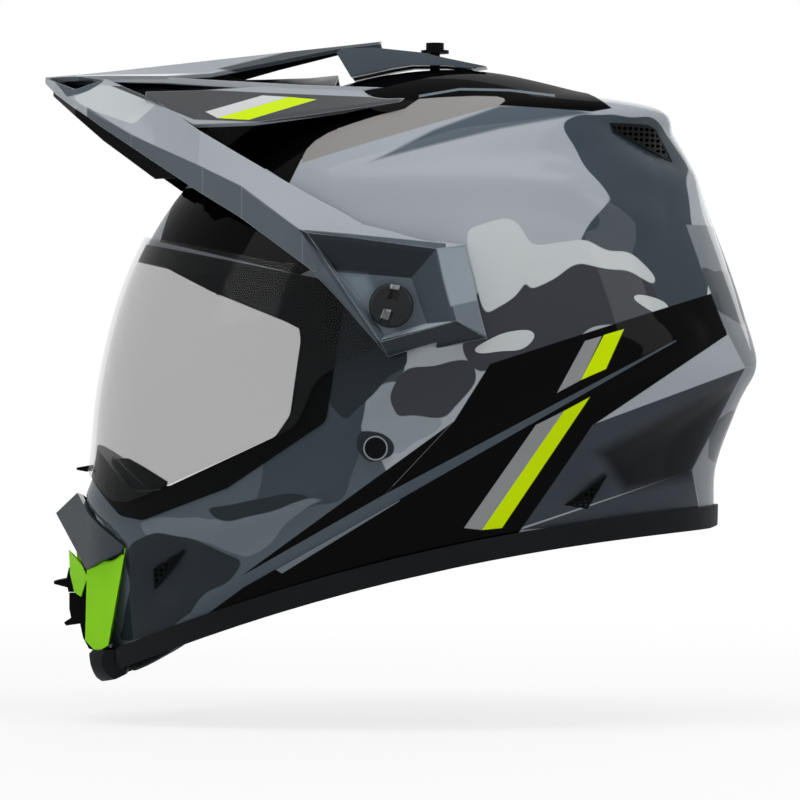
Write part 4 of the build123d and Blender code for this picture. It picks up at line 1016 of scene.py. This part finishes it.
def shell_sculpt(height, reach):
    """Creases, hollows and scoops of the shell, as a move along its surface normal at a place"""
    ridges = [(seen(line), share, spread) for line, share, spread in RIDGES]
    hollows = [
        (*seen_at(px, py), half_x / PIXELS_PER_MM, half_y / PIXELS_PER_MM, deep)
        for px, py, half_x, half_y, deep in HOLLOWS
    ]
    eye = EYE_PORT + EYE_PORT[:1]
    cover = seen(COVER_SEEN)

    def move(x, y, z):
        if z > CREASE_TOP:
            return 0.0
        total = 0.0
        for line, share, spread in ridges:
            gap = distance_to_line(x, z, line)
            total = max(total, height * share * max(0.0, 1 - gap / (reach * spread)))
        for cx, cz, half_x, half_z, deep in hollows:
            inside = 1 - ((x - cx) / half_x) ** 2 - ((z - cz) / half_z) ** 2
            total -= deep * max(0.0, inside) ** DEEPENING
        for outline, depth, spread in SCOOPS:
            gap = distance_to_line(x, z, outline + outline[:1])
            total -= depth * max(0.0, 1 - gap / spread) ** DEEPENING
        fade = min(1.0, max(0.0, (z - edge_height(x) - EDGE_BAND) / EDGE_FADE))
        fade = min(fade, max(0.0, (distance_to_line(x, z, eye) - EYE_BAND) / EYE_FADE))
        room = min(COVER_SLOPE * max(0.0, depth_inside(x, z, cover) + COVER_MARGIN), COVER_ROOM)
        return total * fade * min(1.0, abs(y) / MIDDLE_FADE) - room

    return move


def cover_plate():
    """The chin vent's cover: one folded plate through its stations, walled inward"""
    bm = bmesh.new()
    rows = []
    for out, upper, lower in [(-y, a, b) for y, a, b in COVER_STATIONS[:0:-1]] + COVER_STATIONS:
        rows.append([bm.verts.new(((VENT_X + x) * MM, out * MM, z * MM)) for x, z in (upper, lower)])
    for one, two in zip(rows, rows[1:]):
        bm.faces.new((one[0], two[0], two[1], one[1]))
    bmesh.ops.recalc_face_normals(bm, faces=bm.faces)
    if min(bm.faces, key=lambda f: f.calc_center_median().x).normal.x > 0:
        bmesh.ops.reverse_faces(bm, faces=bm.faces)
    bmesh.ops.solidify(bm, geom=bm.faces[:], thickness=COVER_WALL * MM)
    bmesh.ops.recalc_face_normals(bm, faces=bm.faces)
    return finish_mesh(bm, "ChinVentCover", COVER_SMOOTH)


def edge_tool():
    """Everything under the shell's lower edge"""
    line = [(x, edge_height(x)) for x in range(UNDER_FRONT, UNDER_REAR, UNDER_STEP)]
    return side_bar([(UNDER_REAR, UNDER_BOTTOM), (UNDER_FRONT, UNDER_BOTTOM)] + line, "UnderEdge")


class HELMET_OT_shell(bpy.types.Operator):
    """Makes the painted shell with its creases, openings and vents"""
    bl_idname = "helmet.shell"
    bl_label = "Shell"

    def execute(self, context):
        sizes = context.scene.helmet_sizes
        shell = hull_sheet("Shell", 0.0, sizes.around, sizes.up, SHELL_WALL,
                           shell_sculpt(sizes.crease / MM, sizes.crease_reach / MM))
        tools = [
            edge_tool(),
            side_bar(corner_arcs(EYE_PORT, OPENING_CORNER), "EyePort"),
            side_bar(UPPER_VENT, "UpperVent"),
            side_bar(LOWER_VENT, "LowerVent"),
            side_bar(CHIN_VENT, "ChinVent"),
            box_tool(MOUTH_LOW, MOUTH_HIGH, "Mouth"),
            pin(PIVOT, PIVOT_HOLE, "PivotHoles"),
            pin(RIVET, RIVET_HOLE, "RivetHoles"),
        ]
        carve(shell, tools, angle=SHELL_SMOOTH)
        stand_in(shell, "outer_shell", "helmet", "shell_paint")
        return {"FINISHED"}


class HELMET_OT_shield(bpy.types.Operator):
    """Makes the clear shield and finishes its lift tab"""
    bl_idname = "helmet.shield"
    bl_label = "Face shield"

    def execute(self, context):
        shield = hull_sheet("FaceShield", SHIELD_GAP, SHIELD_AROUND, SHIELD_UP, SHIELD_WALL)
        outline = side_bar(corner_arcs(SHIELD, OPENING_CORNER), "ShieldOutline")
        carve(outline, [pin(PIVOT, SHIELD_EAR, "Ear")], "UNION")
        carve(shield, [outline], "INTERSECT", SHIELD_SMOOTH)
        carve(shield, [pin(PIVOT, HUB_HOLE, "HubHoles")], angle=SHIELD_SMOOTH)
        stand_in(shield, "face_shield", "shield", "clear_shield")
        dress(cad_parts["shield_lift_tab"], "black_plastic")
        return {"FINISHED"}


class HELMET_OT_peak(bpy.types.Operator):
    """Finishes the peak, its underside, its tail and its screws"""
    bl_idname = "helmet.peak"
    bl_label = "Peak"

    def execute(self, context):
        x, z = PIVOT
        middle = Matrix.Translation((x * MM, 0, z * MM))
        lean = middle @ Matrix.Rotation(radians(SLOT_TURN), 4, "Y") @ middle.inverted()
        for side in ("left", "right"):
            screw = copy_of(f"side_screw_{side}", f"SideScrew{side.title()}", bevel=SCREW_BEVEL)
            screw.data.transform(lean)
            stand_in(screw, f"side_screw_{side}", f"{side}_screw", "screw_plastic")
        dress_nodes({
            "peak": "peak_paint", "peak_liner": "peak_black", "peak_tail": "tail_paint",
            "top_screw": "black_plastic", "top_washer": "black_plastic", "top_insert": "brass_insert",
            "side_inserts": "brass_insert", "shield_hub_left": "black_plastic",
            "shield_hub_right": "black_plastic",
        })
        return {"FINISHED"}


class HELMET_OT_rubber(bpy.types.Operator):
    """Finishes the trim, the gasket, the breath guard and the chin skirt"""
    bl_idname = "helmet.rubber"
    bl_label = "Rubber parts"

    def execute(self, context):
        for node, name, finish in (("edge_trim", "EdgeTrim", "trim_rubber"),
                                   ("chin_skirt", "ChinSkirt", "trim_rubber"),
                                   ("eyeport_gasket", "EyeportGasket", "gasket_rubber"),
                                   ("breath_guard", "BreathGuard", "guard_rubber")):
            stand_in(copy_of(node, name), node, "helmet", finish)
        return {"FINISHED"}


class HELMET_OT_vents(bpy.types.Operator):
    """Finishes the chin vent and the vent meshes"""
    bl_idname = "helmet.vents"
    bl_label = "Vents"

    def execute(self, context):
        stand_in(cover_plate(), "chin_vent_cover", "helmet", "vent_cover_paint")
        dress_nodes({
            "chin_vent_wedge_left": "vent_green", "chin_vent_wedge_right": "vent_green",
            "chin_vent_grille": "black_plastic", "chin_vent_slider": "black_plastic",
            "rear_upper_meshes": "mesh_black", "rear_lower_meshes": "mesh_black",
            "chin_side_meshes": "mesh_black",
        })
        return {"FINISHED"}


class HELMET_OT_foam(bpy.types.Operator):
    """Finishes the foam, the slip liner and the strap's metal parts"""
    bl_idname = "helmet.foam"
    bl_label = "Foam and hardware"

    def execute(self, context):
        dress_nodes({
            "impact_liner": "foam_black", "chin_foam": "foam_black", "cheek_foam_left": "foam_black",
            "cheek_foam_right": "foam_black", "slip_liner": "slip_sheet", "strap_rivets": "rivet_black",
            "strap_plates": "plated_steel",
        })
        for node, name, body in (("d_ring_upper", "RingUpper", "upper_ring"),
                                 ("d_ring_lower", "RingLower", "lower_ring")):
            stand_in(copy_of(node, name, bevel=RING_BEVEL), node, body, "plated_steel")
        return {"FINISHED"}


def puffed_pad(node, name, voxel, pressure, cap):
    """Makes a padded piece: a CAD solid on an even grid, which swells by up to cap in mm"""
    pad = finish_mesh(merged_copy(node), name)
    rebuild = pad.modifiers.new("Rebuild", "REMESH")
    rebuild.mode = "VOXEL"
    rebuild.voxel_size = voxel
    even = pad.modifiers.new("Even", "SMOOTH")
    even.factor = EVEN_SHARE
    even.iterations = EVEN_ROUNDS
    settle(pad)
    start = [v.co.copy() for v in pad.data.vertices]
    if pressure:
        cloth = pad.modifiers.new("Puff", "CLOTH")
        cloth.settings.use_pressure = True
        cloth.settings.uniform_pressure_force = pressure
        cloth.settings.effector_weights.gravity = 0
        cloth.settings.quality = PUFF_QUALITY
        for step in range(1, PUFF_STEPS + 1):
            bpy.context.scene.frame_set(step)
        settle(pad)
        bpy.context.scene.frame_set(1)
        for v, rest in zip(pad.data.vertices, start):
            move = v.co - rest
            if move.length > cap * MM:
                v.co = rest + move.normalized() * cap * MM
    fine = pad.modifiers.new("Fine", "SUBSURF")
    fine.levels = 1
    fine.render_levels = 1
    settle(pad, PAD_SMOOTH)
    stand_in(pad, node, "helmet", "lining_fabric")


class HELMET_OT_lining(bpy.types.Operator):
    """Makes the padded lining: crown, brow, neck, cheeks and the chin curtain"""
    bl_idname = "helmet.lining"
    bl_label = "Lining"

    def execute(self, context):
        sizes = context.scene.helmet_sizes
        for node, name, share, cap, fill in PADS:
            puffed_pad(node, name, sizes.pad_voxel / share, sizes.pad_pressure, cap)
        return {"FINISHED"}


class HELMET_OT_straps(bpy.types.Operator):
    """Makes the two halves of the chin strap"""
    bl_idname = "helmet.straps"
    bl_label = "Chin strap"

    def execute(self, context):
        for node, name in (("strap_left", "StrapLeft"), ("strap_right", "StrapRight")):
            stand_in(copy_of(node, name, bevel=STRAP_BEVEL), node, "helmet", "webbing")
        return {"FINISHED"}


def studio_world():
    """Soft even light, with plain white behind the helmet"""
    world = bpy.data.worlds.new("Studio")
    world.use_nodes = True
    setup = Maker(world.node_tree)
    soft = setup.tree.nodes["Background"]
    soft.inputs["Color"].default_value = WHITE
    soft.inputs["Strength"].default_value = SOFT_LIGHT
    white = setup.node("ShaderNodeBackground", None, {"Color": WHITE, "Strength": 1.0})
    pick = setup.node("ShaderNodeMixShader", None, {
        0: setup.open_ways(), 1: soft.outputs[0], 2: white.outputs[0],
    })
    setup.feed(setup.tree.nodes["World Output"].inputs["Surface"], pick.outputs[0])
    return world


def soft_lamp(name, place, size, power):
    """A rectangular area lamp turned to the helmet's middle"""
    lamp = bpy.data.lights.new(name, "AREA")
    lamp.shape = "RECTANGLE"
    lamp.size, lamp.size_y = size
    lamp.energy = power
    holder = bpy.data.objects.new(name, lamp)
    bpy.context.scene.collection.objects.link(holder)
    holder.location = place
    holder.rotation_euler = (Vector(LAMP_AIM) - Vector(place)).to_track_quat("-Z", "Y").to_euler()


def white_floor():
    """A pale floor that keeps the helmet's shadow and turns white far from it"""
    bm = bmesh.new()
    bmesh.ops.create_grid(bm, x_segments=2, y_segments=2, size=FLOOR_SIZE)
    bmesh.ops.translate(bm, vec=(0, 0, -FLOOR_DROP * MM), verts=bm.verts)
    floor = finish_mesh(bm, "Floor")
    ground = Finish("floor_white", tone("ececec"), 0.9)
    spread = ground.node("ShaderNodeVectorMath", {"operation": "LENGTH"}, {0: ground.place})
    far = Field(ground, spread.outputs["Value"]).above(FLOOR_TURNS_WHITE, FLOOR_FADE)
    glow = ground.node("ShaderNodeEmission", None, {"Color": WHITE, "Strength": 1.0})
    share = ground.open_ways() * (far * (1 - NEAR_GLOW) + NEAR_GLOW)
    mixed = ground.node("ShaderNodeMixShader", None, {
        0: share, 1: ground.shader.outputs[0], 2: glow.outputs[0],
    })
    output = next(n for n in ground.tree.nodes if n.type == "OUTPUT_MATERIAL")
    ground.feed(output.inputs["Surface"], mixed.outputs[0])
    floor.data.materials.append(ground.material)


class HELMET_OT_stage(bpy.types.Operator):
    """Makes the floor, the lights and the camera"""
    bl_idname = "helmet.stage"
    bl_label = "Stage"

    def execute(self, context):
        scene = context.scene
        scene.view_settings.view_transform = "Standard"
        white_floor()
        scene.world = studio_world()
        for lamp in LAMPS:
            soft_lamp(*lamp)
        camera = bpy.data.cameras.new("Camera")
        holder = bpy.data.objects.new("Camera", camera)
        scene.collection.objects.link(holder)
        camera.sensor_width = SENSOR_WIDTH
        camera.lens = SENSOR_WIDTH * VIEW_DISTANCE * PIXELS_PER_MM / PICTURE
        camera.clip_end = CAMERA_CLIP
        holder.location = (VIEW_DISTANCE * sin(VIEW_TURN) * MM, -VIEW_DISTANCE * cos(VIEW_TURN) * MM,
                           VIEW_HEIGHT * MM)
        holder.rotation_euler = (pi / 2, 0, VIEW_TURN)
        scene.camera = holder
        return {"FINISHED"}


class HELMET_OT_finishes(bpy.types.Operator):
    """Makes the paints, plastics, rubbers and cloths"""
    bl_idname = "helmet.finishes"
    bl_label = "Finishes"

    def execute(self, context):
        make_finishes(context.scene.helmet_look)
        return {"FINISHED"}


STEPS = (HELMET_OT_stage, HELMET_OT_finishes, HELMET_OT_shell, HELMET_OT_shield, HELMET_OT_peak,
         HELMET_OT_rubber, HELMET_OT_vents, HELMET_OT_foam, HELMET_OT_lining, HELMET_OT_straps)


class HELMET_PT_pieces(bpy.types.Panel):
    bl_label = "Helmet"
    bl_idname = "HELMET_PT_pieces"
    bl_space_type = "VIEW_3D"
    bl_region_type = "UI"
    bl_category = "Helmet"

    def draw(self, context):
        for group in (context.scene.helmet_look, context.scene.helmet_sizes):
            for name in group.bl_rna.properties.keys():
                if name not in {"rna_type", "name"}:
                    self.layout.prop(group, name)
        for step in STEPS:
            self.layout.operator(step.bl_idname)


CLASSES = (HelmetLook, HelmetSizes, *STEPS, HELMET_PT_pieces)


def register():
    for cls in CLASSES:
        bpy.utils.register_class(cls)
    bpy.types.Scene.helmet_look = PointerProperty(type=HelmetLook)
    bpy.types.Scene.helmet_sizes = PointerProperty(type=HelmetSizes)


def unregister():
    del bpy.types.Scene.helmet_sizes
    del bpy.types.Scene.helmet_look
    for cls in reversed(CLASSES):
        bpy.utils.unregister_class(cls)


def main():
    register()
    bpy.ops.helmet.stage()
    bpy.ops.helmet.finishes()
    bpy.ops.helmet.shell()
    bpy.ops.helmet.shield()
    bpy.ops.helmet.peak()
    bpy.ops.helmet.rubber()
    bpy.ops.helmet.vents()
    bpy.ops.helmet.foam()
    bpy.ops.helmet.lining()
    bpy.ops.helmet.straps()


if __name__ == "__main__":
    main()
